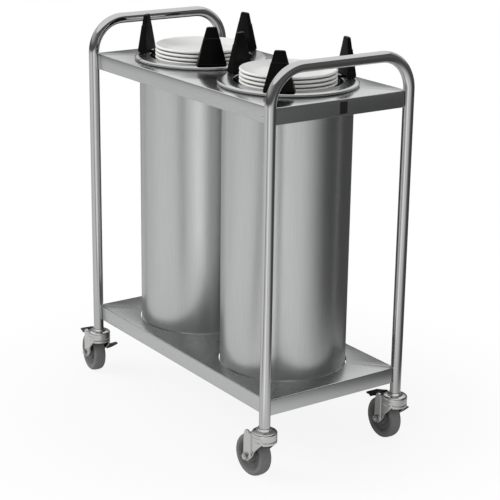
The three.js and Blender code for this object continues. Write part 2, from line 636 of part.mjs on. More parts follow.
function tyre() {
  const half = WHEEL_WIDTH / 2;
  const inner = HUB_DIAMETER / 2 + SEAT_GAP;
  const outer = WHEEL_DIAMETER / 2;
  const side = (s) => [
    [inner, s * (half - SHOULDER)], [outer - TREAD_ROUND, s * half], [outer - TREAD_ROUND * 0.3, s * (half - TREAD_ROUND * 0.3)],
    [outer, s * (half - TREAD_ROUND)],
  ];
  return wheelTurned([...side(-1), ...side(1).reverse()]);
}

// A treadle over the tail of the wheel, with a shoe that comes down on the tread.
function brakePedal() {
  const [px, pz] = PEDAL_PIVOT;
  const barrel = PIVOT_EAR - 1.5;
  const outline = [
    ...arc(px, pz, barrel, 270, 80, 6),
    [px + 26, pz - 1], [PEDAL_TIP - 2, pz - 9.5], [PEDAL_TIP, pz - 12], [PEDAL_TIP - 3, pz - 14],
    [px + 45, pz - 13], [px + 38, pz - 17], [px + 28, pz - 10.5], [px + 12, pz - 5],
  ].map(([x, z]) => [z, x]);
  const pin = crosswise(PEDAL_PIN / 2, SMALL_SIDES, PEDAL_PIVOT, -LEG_OUTSIDE - 1, LEG_OUTSIDE + 1);
  return shaped(extruded('y', outline, -PEDAL_WIDTH / 2, PEDAL_WIDTH / 2), { add: [pin] });
}

// A bent lever on a pin between the fork's lugs: it hangs down beside the leg, then stands out from the caster.
function brakeLever() {
  const [y, z] = LEVER_PIVOT;
  const thick = LEVER_PIN / 2 + 1;
  const outline = [
    ...arc(y, z, thick, 90, -90, 4), [y - 2 * thick, z - LEVER_DROP],
    [y - LEVER_REACH * 0.6, z - LEVER_DROP * 0.75], [y - LEVER_REACH, z - LEVER_TIP_DROP - thick],
    [y - LEVER_REACH - 1, z - LEVER_TIP_DROP], [y - LEVER_REACH / 2, z - LEVER_DROP * 0.35], [y - 2 * thick, z],
  ];
  const [near, far] = LEVER_X;
  const pin = extruded('x', circle(LEVER_PIN / 2, 8, y, z), near - LUG_SHEET, far + LUG_SHEET);
  return shaped(extruded('x', outline, near, far), { add: [pin] });
}

for (const [corner, { x, y, heading, brake }] of Object.entries(CASTERS)) {
  const caster = new THREE.Group();
  caster.position.set(x * POST_X, y * POST_Y, 0);
  caster.rotation.z = radians(heading);
  cart.add(caster);
  piece(`caster_stem_${corner}`, casterStem(), zincPlate, caster);
  piece(`fork_${corner}`, fork(brake), zincPlate, caster);
  piece(`axle_${corner}`, axle(), zincPlate, caster);
  piece(`hub_${corner}`, hub(), greyPlastic, caster);
  piece(`tyre_${corner}`, tyre(), greyRubber, caster);
  if (brake) {
    piece(`brake_pedal_${corner}`, brakePedal(), blackNylon, caster);
    piece(`brake_lever_${corner}`, brakeLever(), zincPlate, caster);
  }
}

export default cart;
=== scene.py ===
"""Two-well plate dispenser cart: stainless shelves and wells in a tube frame on four casters.

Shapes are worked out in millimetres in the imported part's frame, and put into meshes in metres.
"""

import math

import bmesh
import bpy
import numpy as np
from mathutils import Matrix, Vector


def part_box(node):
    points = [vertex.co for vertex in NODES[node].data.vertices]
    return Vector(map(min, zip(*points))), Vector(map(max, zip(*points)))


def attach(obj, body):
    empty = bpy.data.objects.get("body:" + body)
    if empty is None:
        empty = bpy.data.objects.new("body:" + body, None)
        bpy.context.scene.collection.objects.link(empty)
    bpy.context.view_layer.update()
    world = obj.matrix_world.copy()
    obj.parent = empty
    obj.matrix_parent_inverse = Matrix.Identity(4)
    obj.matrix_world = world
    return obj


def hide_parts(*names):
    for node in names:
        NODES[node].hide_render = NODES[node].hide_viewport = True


bl_info = {
    "name": "Plate dispenser cart",
    "version": (1, 0, 0),
    "blender": (4, 5, 0),
    "location": "View3D > Sidebar > Plate cart",
    "description": "Builds the cart's sheet metal, tubes, plates, guides and casters on its frame",
    "category": "Object",
}

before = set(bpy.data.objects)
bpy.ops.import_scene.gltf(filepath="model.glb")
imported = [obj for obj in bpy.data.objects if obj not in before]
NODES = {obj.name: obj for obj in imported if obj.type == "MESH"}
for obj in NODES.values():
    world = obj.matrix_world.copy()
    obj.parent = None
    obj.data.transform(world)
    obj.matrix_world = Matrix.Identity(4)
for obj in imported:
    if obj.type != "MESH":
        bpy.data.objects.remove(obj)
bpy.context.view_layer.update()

# ---------------------------------------------------------------- sizes of the frame, in mm


def box_mm(node):
    """Lowest and highest corner of a node, in mm."""
    low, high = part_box(node)
    return np.array(low) * 1000, np.array(high) * 1000


def middle(node):
    """Middle of a node's box, in mm."""
    low, high = box_mm(node)
    return (low + high) / 2


SEAT_GAP = 0.3                  # between pieces that rest on or are welded to each other
DECK_LOW, DECK_HIGH = box_mm("top_deck")
BASE_LOW, BASE_HIGH = box_mm("base_shelf")
DECK_HOLE_GAP, BASE_HOLE_GAP = 0.5, 2.5
HOOP_LOW, HOOP_HIGH = box_mm("end_frame_right")
CENTRE = (DECK_LOW[:2] + DECK_HIGH[:2]) / 2
HALF_LENGTH, HALF_DEPTH = (DECK_HIGH[:2] - DECK_LOW[:2]) / 2
TUBE_FLAT = (HOOP_HIGH[0] - HOOP_LOW[0]) / 2
POST_X = middle("end_frame_right")[0] - CENTRE[0]
POST_Y = HOOP_HIGH[1] - CENTRE[1] - TUBE_FLAT
HANDLE_Z = HOOP_HIGH[2] - TUBE_FLAT
TUBE_FOOT = HOOP_LOW[2]
WELLS = {side: middle(f"well_rim_{side}")[:2] for side in ("left", "right")}
RIM_LOW, RIM_HIGH = box_mm("well_rim_left")
RIM_RADIUS = (RIM_HIGH[0] - RIM_LOW[0]) / 2
RIM_TOP = RIM_HIGH[2]
RIM_WIDTH = 37.0                # a rim's opening to its outer edge
SHELL_LOW, SHELL_HIGH = box_mm("well_shell_left")
FLANGE = 8.0                    # a well's flange outside its wall
WELL_RADIUS = (SHELL_HIGH[0] - SHELL_LOW[0]) / 2 - FLANGE
WELD_INSET = 0.6                # middle of a weld bead inside an apron's face
# Rivets in the front aprons: place along the cart from its middle, and height
RIVETS = ((343.0, DECK_LOW[2] + 14), (-60.0, BASE_LOW[2] + 16))
CORNERS = ("left_front", "left_rear", "right_front", "right_rear")


# ---------------------------------------------------------------- shapes


def grid_faces(rows, columns, wrap_rows=False, wrap_columns=False):
    """Quads of a grid of points: (i, j) is joined to (i+1, j), (i+1, j+1) and (i, j+1)."""
    i, j = np.meshgrid(np.arange(rows - (not wrap_rows)), np.arange(columns - (not wrap_columns)),
                       indexing="ij")
    k, m = (i + 1) % rows, (j + 1) % columns
    quads = [i * columns + j, k * columns + j, k * columns + m, i * columns + m]
    return np.stack(quads, -1).reshape(-1, 4)


def surface(points, wrap_rows=False, wrap_columns=False, caps=False):
    """A grid of points as a surface; caps closes its first and last row with one face each."""
    rows, columns = points.shape[:2]
    faces = grid_faces(rows, columns, wrap_rows, wrap_columns).tolist()
    if caps:
        faces += [list(range(columns)), list(range((rows - 1) * columns, rows * columns))]
    return points.reshape(-1, 3), faces


def rounded(outline, cut, steps=5, closed=True):
    """Each corner is swapped for a parabola that leaves and meets its sides `cut` from the corner:
    (1-t)^2 start + 2t(1-t) corner + t^2 end."""
    p = np.array(outline, float)
    before, after = np.roll(p, 1, 0) - p, np.roll(p, -1, 0) - p
    cut = np.broadcast_to(np.array(cut, float), len(p)).copy()
    if not closed:
        before[0], after[-1] = after[0], before[-1]
        cut[[0, -1]] = 0
    before /= np.linalg.norm(before, axis=1, keepdims=True)
    after /= np.linalg.norm(after, axis=1, keepdims=True)
    start, end = (p + before * cut[:, None])[:, None], (p + after * cut[:, None])[:, None]
    t = np.linspace(0, 1, steps + 1)[None, :, None]
    return ((1 - t) ** 2 * start + 2 * t * (1 - t) * p[:, None] + t**2 * end).reshape(-1, 2)


def revolved(profile, sides, closed=True):
    """A profile of (radius, height) carried round the z axis: (r cos a, r sin a, z)."""
    profile = np.array(profile, float)
    a = np.linspace(0, 2 * np.pi, sides, endpoint=False)
    r, z = profile[:, :1], profile[:, 1:]
    points = np.stack([r * np.cos(a), r * np.sin(a), z + 0 * a], -1)
    return surface(points, wrap_rows=closed, wrap_columns=True)


def pin(radius, half, sides):
    """A plain pin along z, from -half to half."""
    return revolved([(0, -half), (radius, -half), (radius, half), (0, half)], sides, closed=False)


def inset_outline(outline, amount):
    """A closed outline with each point moved inwards along the bisector of its two sides."""
    side = np.roll(outline, -1, 0) - outline
    side = side / np.maximum(np.linalg.norm(side, axis=1, keepdims=True), 1e-9)
    turn = side + np.roll(side, 1, 0)
    turn /= np.maximum(np.linalg.norm(turn, axis=1, keepdims=True), 1e-9)
    x, y = outline[:, 0], outline[:, 1]
    sign = np.sign(np.sum(x * np.roll(y, -1) - y * np.roll(x, -1)))
    return outline + sign * amount * np.stack([-turn[:, 1], turn[:, 0]], -1)


def with_height(plan, z):
    """Points (x, y) of a plan as (x, y, z)."""
    return np.column_stack([plan, np.full(len(plan), z)])


def slab(outline, low, high, edge):
    """A flat piece of an outline (u, v) from w = low to w = high, with chamfered edges, as
    points (u, v, w)."""
    outline = np.array(outline, float)
    levels = [(edge, low), (0, low + edge), (0, high - edge), (edge, high)]
    rows = [with_height(inset_outline(outline, inset), w) for inset, w in levels]
    return surface(np.array(rows), wrap_columns=True, caps=True)


def shell_of(outer, inner):
    """A closed shell between two open grids of the same size, joined round their borders."""
    rows, columns = outer.shape[:2]
    step = rows * columns
    index = np.arange(step).reshape(rows, columns)
    border = np.concatenate([index[0], index[1:, -1], index[-1, -2::-1], index[-2:0:-1, 0]])
    following = np.roll(border, -1)
    faces = grid_faces(rows, columns)
    rim = np.stack([border, following, following + step, border + step], -1)
    points = np.concatenate([outer.reshape(-1, 3), inner.reshape(-1, 3)])
    return points, faces.tolist() + (faces[:, ::-1] + step).tolist() + rim.tolist()


def circle(radius, sides):
    """Points (r cos a, r sin a) at even angles."""
    a = np.linspace(0, 2 * np.pi, sides, endpoint=False)
    return np.stack([radius * np.cos(a), radius * np.sin(a)], -1)


def arc_points(x, z, radius, start, end, count=13):
    """Points (x + r sin a, z + r cos a), a in degrees from straight up."""
    a = np.radians(np.linspace(start, end, count))
    return np.column_stack([x + radius * np.sin(a), z + radius * np.cos(a)])


def rounded_rectangle(half_u, half_v, radius):
    """Outline of a rectangle whose corners are quarter circles:
    (+-(half - r) + r cos a, +-(half - r) + r sin a)."""
    a = np.linspace(0, np.pi / 2, 7)
    turn = (np.arange(4) * np.pi / 2)[:, None] + a[None]
    su, sv = np.array([1, -1, -1, 1])[:, None], np.array([1, 1, -1, -1])[:, None]
    return np.stack([su * (half_u - radius) + radius * np.cos(turn),
                     sv * (half_v - radius) + radius * np.sin(turn)], -1).reshape(-1, 2)


def axes(part, order):
    """The part's coordinates in another order: in 'zxy', x takes the old z and y the old x."""
    points, faces = part
    return points[:, ["xyz".index(c) for c in order]], faces


def moved(part, offset, turn=0.0):
    """The part turned about z, then shifted."""
    points, faces = part
    c, s = math.cos(turn), math.sin(turn)
    return points @ np.array([[c, s, 0], [-s, c, 0], [0, 0, 1]]) + np.array(offset, float), faces


def smooth_step(x, low, high):
    """0 up to low, 1 from high on, and 3t^2 - 2t^3 between them."""
    t = np.clip((np.asarray(x, float) - low) / (high - low), 0, 1)
    return t * t * (3 - 2 * t)


def merge_points(mesh, reach, closed):
    """Points of a mesh nearer than `reach` metres become one. A closed mesh also loses its edges
    of no length and has its faces turned outwards."""
    work = bmesh.new()
    work.from_mesh(mesh)
    bmesh.ops.remove_doubles(work, verts=work.verts, dist=reach)
    if closed:
        bmesh.ops.dissolve_degenerate(work, edges=work.edges, dist=1e-7)
        bmesh.ops.recalc_face_normals(work, faces=work.faces)
    work.to_mesh(mesh)
    work.free()


def in_scene(name, data):
    """A new object of some data, linked into the scene."""
    thing = bpy.data.objects.new(name, data)
    bpy.context.scene.collection.objects.link(thing)
    return thing


def make_piece(name, parts, look, body, stands_for=(), sharp=35.0):
    """Joins parts of points in mm and faces into one mesh in metres, merged and with its faces
    outwards; edges over `sharp` degrees are shaded sharp."""
    points, faces, start = [], [], 0
    for part_points, part_faces in parts:
        points.append(part_points)
        faces += [[k + start for k in face] for face in part_faces]
        start += len(part_points)
    mesh = bpy.data.meshes.new(name)
    mesh.from_pydata(np.concatenate(points) / 1000, [], faces)
    merge_points(mesh, 2e-6, closed=True)
    mesh.shade_smooth()
    mesh.set_sharp_from_angle(angle=math.radians(sharp))
    mesh.materials.append(finish(look))
    piece = in_scene(name, mesh)
    if stands_for:
        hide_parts(*stands_for)
    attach(piece, body)


# ---------------------------------------------------------------- finishes


def srgb(code):
    """A hex colour as linear RGBA: c / 12.92 up to 0.04045, ((c + 0.055) / 1.055)^2.4 above it."""
    c = np.array([int(code[i:i + 2], 16) for i in (0, 2, 4)]) / 255
    linear = np.where(c <= 0.04045, c / 12.92, ((c + 0.055) / 1.055) ** 2.4)
    return (*(float(v) for v in linear), 1.0)


def scaled(colour, factor):
    """A colour made lighter or darker, up to white."""
    return (*(min(c * factor, 1.0) for c in colour[:3]), 1.0)


def empty_tree(owner):
    """The node tree of a material or a world, emptied."""
    owner.use_nodes = True
    owner.node_tree.nodes.clear()
    return owner.node_tree


def add_node(tree, kind, inputs=None, **settings):
    """Adds a node, sets its properties, and fills each input with a value or an output's link."""
    node = tree.nodes.new(kind)
    for name, value in settings.items():
        setattr(node, name, value)
    for name, value in (inputs or {}).items():
        if isinstance(value, bpy.types.NodeSocket):
            tree.links.new(value, node.inputs[name])
        else:
            node.inputs[name].default_value = value
    return node


def ground_metal(tree, place, colour, roughness, spread, grain, cloud, relief, along, streak):
    """Shader inputs of metal with a ground grain: fine streaks `grain` mm wide, 60 times as long
    along one axis, give the relief and shift the colour by +-`streak`, and clouds `cloud` mm wide
    vary the roughness by `spread`, as handling does."""
    scale = [1000 / grain / (60 if axis == along else 1) for axis in range(3)]
    stretched = add_node(tree, "ShaderNodeMapping", {"Vector": place, "Scale": scale})
    fine = add_node(tree, "ShaderNodeTexNoise", {
        "Vector": stretched.outputs["Vector"], "Scale": 1.0, "Detail": 2.0}).outputs["Fac"]
    clouds = add_node(tree, "ShaderNodeTexNoise", {
        "Vector": place, "Scale": 1000 / cloud, "Detail": 4.0, "Roughness": 0.6})
    level = add_node(tree, "ShaderNodeMapRange", {
        "Value": clouds.outputs["Fac"], "From Min": 0.3, "From Max": 0.7,
        "To Min": roughness - spread, "To Max": roughness + spread})
    streaked = add_node(tree, "ShaderNodeMath", {
        0: fine, 1: spread, 2: level.outputs["Result"]}, operation="MULTIPLY_ADD")
    bumps = add_node(tree, "ShaderNodeBump", {
        "Height": fine, "Strength": relief, "Distance": 0.00004})
    shade = add_node(tree, "ShaderNodeMapRange", {
        "Value": fine, "From Min": 0.3, "From Max": 0.7})
    tint = add_node(tree, "ShaderNodeMix", {
        0: shade.outputs["Result"], 6: scaled(colour, 1 - streak),
        7: scaled(colour, 1 + streak)}, data_type="RGBA")
    return {"Base Color": tint.outputs[2], "Metallic": 1.0,
            "Roughness": streaked.outputs["Value"], "Normal": bumps.outputs["Normal"]}


def moulded(tree, place, colour, roughness, grain, relief, coat, mottle, specular):
    """Shader inputs of a moulded or glazed surface: fine relief `grain` mm wide, and broad clouds
    33 mm wide that draw the colour a share `mottle` of the way to half its brightness."""
    fine = add_node(tree, "ShaderNodeTexNoise", {
        "Vector": place, "Scale": 1000 / grain, "Detail": 3.0})
    clouds = add_node(tree, "ShaderNodeTexNoise", {"Vector": place, "Scale": 30.0, "Detail": 3.0})
    shade = add_node(tree, "ShaderNodeMapRange", {
        "Value": clouds.outputs["Fac"], "From Min": 0.3, "From Max": 0.7,
        "To Min": 1 - mottle, "To Max": 1.0})
    tint = add_node(tree, "ShaderNodeMix", {
        0: shade.outputs["Result"], 6: scaled(colour, 0.5), 7: scaled(colour, 1)},
        data_type="RGBA")
    bumps = add_node(tree, "ShaderNodeBump", {
        "Height": fine.outputs["Fac"], "Strength": relief, "Distance": 0.0001})
    return {"Base Color": tint.outputs[2], "Normal": bumps.outputs["Normal"],
            "Roughness": roughness, "Coat Weight": coat, "Specular IOR Level": specular}


# Each metal: colour, roughness and its spread, width of grain and clouds in mm, relief, axis that
# the grain runs along, streak. A grain too fine to show is drawn wider, as its line says.
METALS = {
    # Stainless sheet, ground lengthwise: soft reflections with fine streaks. Its grain of 0.3 mm
    # is drawn twice as wide.
    "ground_stainless_sheet": ("stainless", 0.2, 0.02, 0.6, 90, 0.05, 0, 0.07),
    # The same sheet, dulled by what stands on the lower shelf: the wells are mirrored blurred.
    "ground_stainless_shelf": ("stainless", 0.26, 0.02, 0.6, 90, 0.05, 0, 0.06),
    # Stainless sheet, rolled and ground up and down: broad soft stripes of light. Its grain of
    # 0.3 mm is drawn four times as wide.
    "ground_stainless_drawn": ("stainless", 0.3, 0.02, 1.2, 90, 0.05, 2, 0.05),
    # Stainless tube, polished lengthwise: narrow stripes of light with clear edges. Its polishing
    # lines of 0.1 mm are drawn five times as wide.
    "polished_stainless_tube": ("tube", 0.07, 0.01, 0.5, 50, 0.03, 2, 0),
    # Stainless weld, not dressed: dull, with 2 mm ripples; its dark grey is painted joint shade.
    "heat_tinted_weld": ("weld", 0.4, 0.05, 2, 10, 0.2, None, 0),
    # Pressed steel, bright zinc plated: pale, with clouds of 3 and 12 mm from the bath.
    "bright_zinc_plate": ("zinc", 0.2, 0.05, 3, 12, 0.2, None, 0),
    # Spring steel, drawn to wire: grey with dull streaks. Its die lines of 0.1 mm are drawn five
    # times as wide.
    "drawn_spring_wire": ("wire", 0.35, 0.04, 0.5, 20, 0.2, 2, 0),
    # Steel, phosphated: dark grey with a low shine. Its crystals of 0.1 mm are drawn ten times as
    # wide.
    "dark_phosphated_steel": ("steel", 0.3, 0.04, 1, 10, 0.2, None, 0),
}
# Each moulding or glaze: colour, roughness, width of grain in mm, relief, coat, mottle, specular.
# The grain of a moulding is drawn wider, as its line says, so that it shows.
MOULDINGS = {
    # Nylon, moulded: black, with a low even shine. Its grain of 0.2 mm is drawn three times as
    # wide.
    "moulded_black_nylon": ("nylon", 0.34, 0.6, 0.15, 0, 0.06, 0.2),
    # China, glazed: white under a clear hard gloss, in waves 12 mm wide.
    "glazed_china": ("glaze", 0.1, 12, 0.05, 0.3, 0.02, 0.5),
    # Rubber, moulded: dull grey, scuffed in patches. Its grain of 0.2 mm is drawn four times as
    # wide.
    "moulded_grey_rubber": ("rubber", 0.7, 0.8, 0.3, 0, 0.2, 0.5),
    # Polypropylene, moulded: dull grey, a little darker than the tread. Its grain of 0.2 mm is
    # drawn five times as wide.
    "moulded_wheel_centre": ("wheel", 0.5, 1, 0.2, 0, 0.15, 0.5),
}


def finish(name):
    """The cart's material of that name, made when it is first asked for. Its pattern follows the
    piece's own coordinates."""
    if name not in bpy.data.materials:
        kind, table = (ground_metal, METALS) if name in METALS else (moulded, MOULDINGS)
        colour, *values = table[name]
        tree = empty_tree(bpy.data.materials.new(name))
        place = add_node(tree, "ShaderNodeTexCoord").outputs["Object"]
        inputs = kind(tree, place, getattr(bpy.context.scene.cart_finishes, colour), *values)
        shader = add_node(tree, "ShaderNodeBsdfPrincipled", inputs)
        add_node(tree, "ShaderNodeOutputMaterial", {"Surface": shader.outputs["BSDF"]})
    return bpy.data.materials[name]


# ---------------------------------------------------------------- settings


def length_setting(name, description, default):
    """A length of the panel, in metres."""
    return bpy.props.FloatProperty(name=name, description=description, default=default,
                                   unit="LENGTH", subtype="DISTANCE")


def colour_setting(name, description, code):
    """A colour of the panel, from its hex value."""
    return bpy.props.FloatVectorProperty(name=name, description=description, default=srgb(code),
                                         size=4, subtype="COLOR", min=0, max=1)


class CartSizes(bpy.types.PropertyGroup):
    """Sizes that the frame's boxes don't give."""

    tube: length_setting("Tube", "Outside diameter of the frame tube", 0.0254)
    tube_wall: length_setting("Tube wall", "Wall of the frame tube", 0.0015)
    bend: length_setting("Bend", "Radius of a handle's bends, at the tube's middle", 0.08)
    sheet: length_setting("Sheet", "Thickness of the shelves, wells and rims", 0.0015)
    fold: length_setting("Fold", "Outside radius of a shelf's folded edges", 0.0025)
    hem: length_setting("Hem", "Return flange at the foot of an apron", 0.012)
    rim_bead: length_setting("Rim bead", "Width of a well rim's rolled outer edge", 0.011)
    plate_foot: length_setting("Plate foot", "Diameter of a plate's foot ring", 0.13)


class CartFinishes(bpy.types.PropertyGroup):
    """Colours of the cart's finishes."""

    stainless: colour_setting("Stainless", "Ground stainless sheet", "cccdcd")
    tube: colour_setting("Tube", "Polished stainless tube", "c6c6c6")
    # Painted shade: the weld's dark grey stands in for the shade where the aprons meet the posts.
    weld: colour_setting("Weld", "Heat tint of the weld beads", "343434")
    zinc: colour_setting("Zinc", "Bright zinc plate of the casters", "d2d2d0")
    steel: colour_setting("Steel", "Phosphated steel of the levers and the bare plate", "5c5c5c")
    wire: colour_setting("Wire", "Drawn wire of the lifts' springs", "8f9294")
    nylon: colour_setting("Nylon", "Black nylon of the guides and pedals", "050505")
    glaze: colour_setting("Glaze", "White glaze of the plates", "f1f1ee")
    rubber: colour_setting("Rubber", "Grey rubber of the treads", "7b7b7b")
    wheel: colour_setting("Wheel", "Grey moulded wheel centres", "6a6a6b")


def sizes():
    """The sizes of the panel in mm, by name."""
    group = bpy.context.scene.cart_sizes
    return {name: getattr(group, name) * 1000 for name in CartSizes.__annotations__}


# ---------------------------------------------------------------- frame and shelves


def hoop_path(size):
    """The tube's middle line: up a post, a quarter circle, along the handle, a quarter circle,
    down a post. Gives places and directions in (y, z)."""
    bend = size["bend"]
    inner, spring = POST_Y - bend, HANDLE_Z - bend
    a = np.linspace(0, np.pi / 2, 21)
    rise = np.linspace(TUBE_FOOT, spring, 24)[:-1]
    run = np.linspace(-inner, inner, 12)[1:-1]
    first = np.column_stack([-inner - bend * np.cos(a), spring + bend * np.sin(a)])
    up = np.column_stack([np.full(len(rise), -POST_Y), rise])
    level = np.column_stack([run, np.full(len(run), HANDLE_Z)])
    places = np.concatenate([up, first, level, first[::-1] * [-1, 1], up[::-1] * [-1, 1]])
    lean = np.concatenate([0 * rise, a, np.full(len(run), np.pi / 2), np.pi - a[::-1],
                           np.full(len(rise), np.pi)])
    return places, np.column_stack([np.sin(lean), np.cos(lean)])


def hoop(x, size):
    """A tube with a wall: a circle carried up the hoop's path, then a smaller one carried back
    inside it, with a small bevel at the tube's ends."""
    places, ways = hoop_path(size)
    outside, bevel = size["tube"] / 2, 0.3
    there = np.concatenate([[0], np.arange(len(places)), [len(places) - 1]])
    radius = np.repeat([outside, outside - size["tube_wall"]], len(there))
    radius[[0, len(there) - 1]] -= bevel
    radius[[len(there), -1]] += bevel
    row = np.concatenate([there, there[::-1]])
    places, ways = places[row], ways[row]
    ring = circle(1.0, 40)
    across = np.column_stack([-ways[:, 1], ways[:, 0]])
    y, z = (places[:, None, k] + radius[:, None] * ring[None, :, 1] * across[:, None, k]
            for k in (0, 1))
    xs = x + radius[:, None] * ring[None, :, 0]
    points = np.stack([xs + CENTRE[0], y + CENTRE[1], z], -1)
    return surface(points, wrap_rows=True, wrap_columns=True)


def weld_beads(x, size):
    """Beads where an apron meets a post: a small round up each joint, half sunk in it, whose
    radius ripples as 1.7 + 0.25 sin 2.4 z and thins at both ends."""
    beads = []
    outside, sides = size["tube"] / 2, 10
    deep = HALF_DEPTH - WELD_INSET
    dx, dy = HALF_LENGTH - WELD_INSET - POST_X, POST_Y - deep
    outward = math.copysign(1, x)
    joints = ((x + outward * dx, POST_Y - math.sqrt(outside**2 - dx**2)),
              (x - outward * math.sqrt(outside**2 - dy**2), deep))
    ring = circle(1.0, sides)
    for low, high in ((BASE_LOW[2], BASE_HIGH[2]), (DECK_LOW[2], DECK_HIGH[2])):
        low, high = low + 1.5, high - 1.0
        z = np.linspace(low, high, 40)
        end = smooth_step(z, low, low + 2.5) * smooth_step(-z, -high, -high + 2)
        radius = ((1.7 + 0.25 * np.sin(z * 2.4)) * (0.35 + 0.65 * end))[:, None]
        for sy in (-1, 1):
            for joint_x, joint_y in joints:
                points = np.stack([CENTRE[0] + joint_x + radius * ring[:, 0],
                                   CENTRE[1] + sy * joint_y + radius * ring[:, 1],
                                   np.broadcast_to(z[:, None], (len(z), sides))], -1)
                beads.append(surface(points, wrap_columns=True, caps=True))
    return beads


def half_plan(inset, size):
    """Right half of a shelf's outline drawn in by inset, from the middle of the front round to the
    middle of the rear, with an arc of the tube's radius plus the inset about each post. Also the
    way back along x = 0."""
    long_half, deep_half = HALF_LENGTH - inset, HALF_DEPTH - inset
    notch = size["tube"] / 2 + SEAT_GAP + inset
    to_end = math.asin((long_half - POST_X) / notch)
    to_side = math.acos((POST_Y - deep_half) / notch)
    a = np.linspace(to_end, -to_side, 9)
    corner = np.column_stack([POST_X + notch * np.sin(a), POST_Y - notch * np.cos(a)])
    front_corner = corner[::-1] * [1, -1]
    across = np.linspace(0, 1, 12)[:, None]
    front = (1 - across) * [0, -deep_half] + across * front_corner[0]
    end = (1 - across) * front_corner[-1] + across * corner[0]
    rear = (1 - across) * corner[-1] + across * [0, deep_half]
    outside = np.concatenate([front, front_corner[1:], end[1:], corner[1:], rear[1:]])
    back = np.column_stack([np.zeros(16), np.linspace(deep_half, -deep_half, 18)[1:-1]])
    return outside, back


def shelf(top, foot, hole, size):
    """A folded tray upside down: the top from each hole's circle out to the outline, and the
    apron's section carried round the outline. The section is (inset, height): fold, apron, hem and
    back up inside."""
    fold, sheet, hem, edge = size["fold"], size["sheet"], size["hem"], 0.4
    section = np.concatenate([
        arc_points(fold, top - fold, fold, 0, -90, 5),
        arc_points(fold, foot + fold, fold, -90, -180, 5),
        [[hem, foot], [hem, foot + sheet]],
        arc_points(fold, foot + fold, fold - sheet, -180, -90, 5),
        arc_points(fold, top - fold, fold - sheet, -90, 0, 5),
    ])
    skirt = np.array([with_height(half_plan(inset, size)[0], z) for inset, z in section])
    loop = np.concatenate(half_plan(fold, size))
    well = WELLS["right"] - CENTRE
    a = np.arctan2(loop[:, 1] - well[1], loop[:, 0] - well[0])
    round_well = np.column_stack([np.cos(a), np.sin(a)])
    ring, lip = well + hole * round_well, well + (hole + edge) * round_well
    rows = np.array([with_height(plan, z) for plan, z in (
        (loop, top), (lip, top), (ring, top - edge), (ring, top - sheet + edge),
        (lip, top - sheet), (loop, top - sheet))])
    half = [surface(skirt), surface(rows, wrap_columns=True)]
    parts = half + [(points * [-1, 1, 1], faces) for points, faces in half]
    return [moved(part, (*CENTRE, 0)) for part in parts]


class CART_OT_frame(bpy.types.Operator):
    """Bends the two end hoops and runs the weld beads along their joints with the shelves"""

    bl_idname = "cart.frame"
    bl_label = "End hoops"

    def execute(self, context):
        size = sizes()
        for side, x in (("left", -POST_X), ("right", POST_X)):
            make_piece(f"hoop_{side}", [hoop(x, size)], "polished_stainless_tube", "cart_frame",
                       [f"end_frame_{side}"], 50)
            # The weld beads are drawn dark as painted shade in the joints between aprons and posts.
            make_piece(f"weld_beads_{side}", weld_beads(x, size), "heat_tinted_weld",
                       "cart_frame", sharp=60)
        return {"FINISHED"}


def bare_plate():
    """A plain plate with rounded corners, 0.8 mm thick, on the right-hand end apron of the deck."""
    plate = slab(rounded_rectangle(10.5, 13.5, 1.5), 0, 0.8, 0.25)
    return moved(axes(plate, "zxy"),
                 (CENTRE[0] + HALF_LENGTH, CENTRE[1] + 4, (DECK_LOW[2] + DECK_HIGH[2]) / 2))


def rivet(place, radius=2.2, rise=0.7):
    """A flat rivet head in a front apron: a quarter ellipse of revolution that stands out to -y."""
    a = np.linspace(0, np.pi / 2, 6)
    profile = np.column_stack([radius * np.cos(a), rise * np.sin(a)])
    points, faces = axes(revolved(profile, 20, closed=False), "xzy")
    return points * [1, -1, 1] + place, faces


class CART_OT_shelves(bpy.types.Operator):
    """Folds the deck and the base shelf from sheet, and adds their rivets and a bare plate"""

    bl_idname = "cart.shelves"
    bl_label = "Shelves"

    def execute(self, context):
        size = sizes()
        for name, low, high, gap, look in (
                ("top_deck", DECK_LOW, DECK_HIGH, DECK_HOLE_GAP, "ground_stainless_sheet"),
                ("base_shelf", BASE_LOW, BASE_HIGH, BASE_HOLE_GAP, "ground_stainless_shelf")):
            make_piece(f"folded_{name}", shelf(high[2], low[2], WELL_RADIUS + gap, size), look,
                       "cart_frame", [name], 30)
        rivets = [rivet((CENTRE[0] + x, CENTRE[1] - HALF_DEPTH, z)) for x, z in RIVETS]
        make_piece("apron_rivets", rivets, "ground_stainless_drawn", "cart_frame",
                   sharp=50)
        make_piece("bare_plate", [bare_plate()], "dark_phosphated_steel", "cart_frame")
        return {"FINISHED"}


# ---------------------------------------------------------------- wells


def shell_profile(size):
    """Half section of a well: straight wall, and a flange turned out on the deck."""
    inside, low, high = WELL_RADIUS - size["sheet"], SHELL_LOW[2], SHELL_HIGH[2]
    under, outer = high - size["sheet"], WELL_RADIUS + FLANGE
    return rounded([(inside, low), (WELL_RADIUS, low), (WELL_RADIUS, under), (outer, under),
                    (outer, high), (inside, high)], [0.5, 0.5, 0.6, 0.5, 0.5, 2.0], 4)


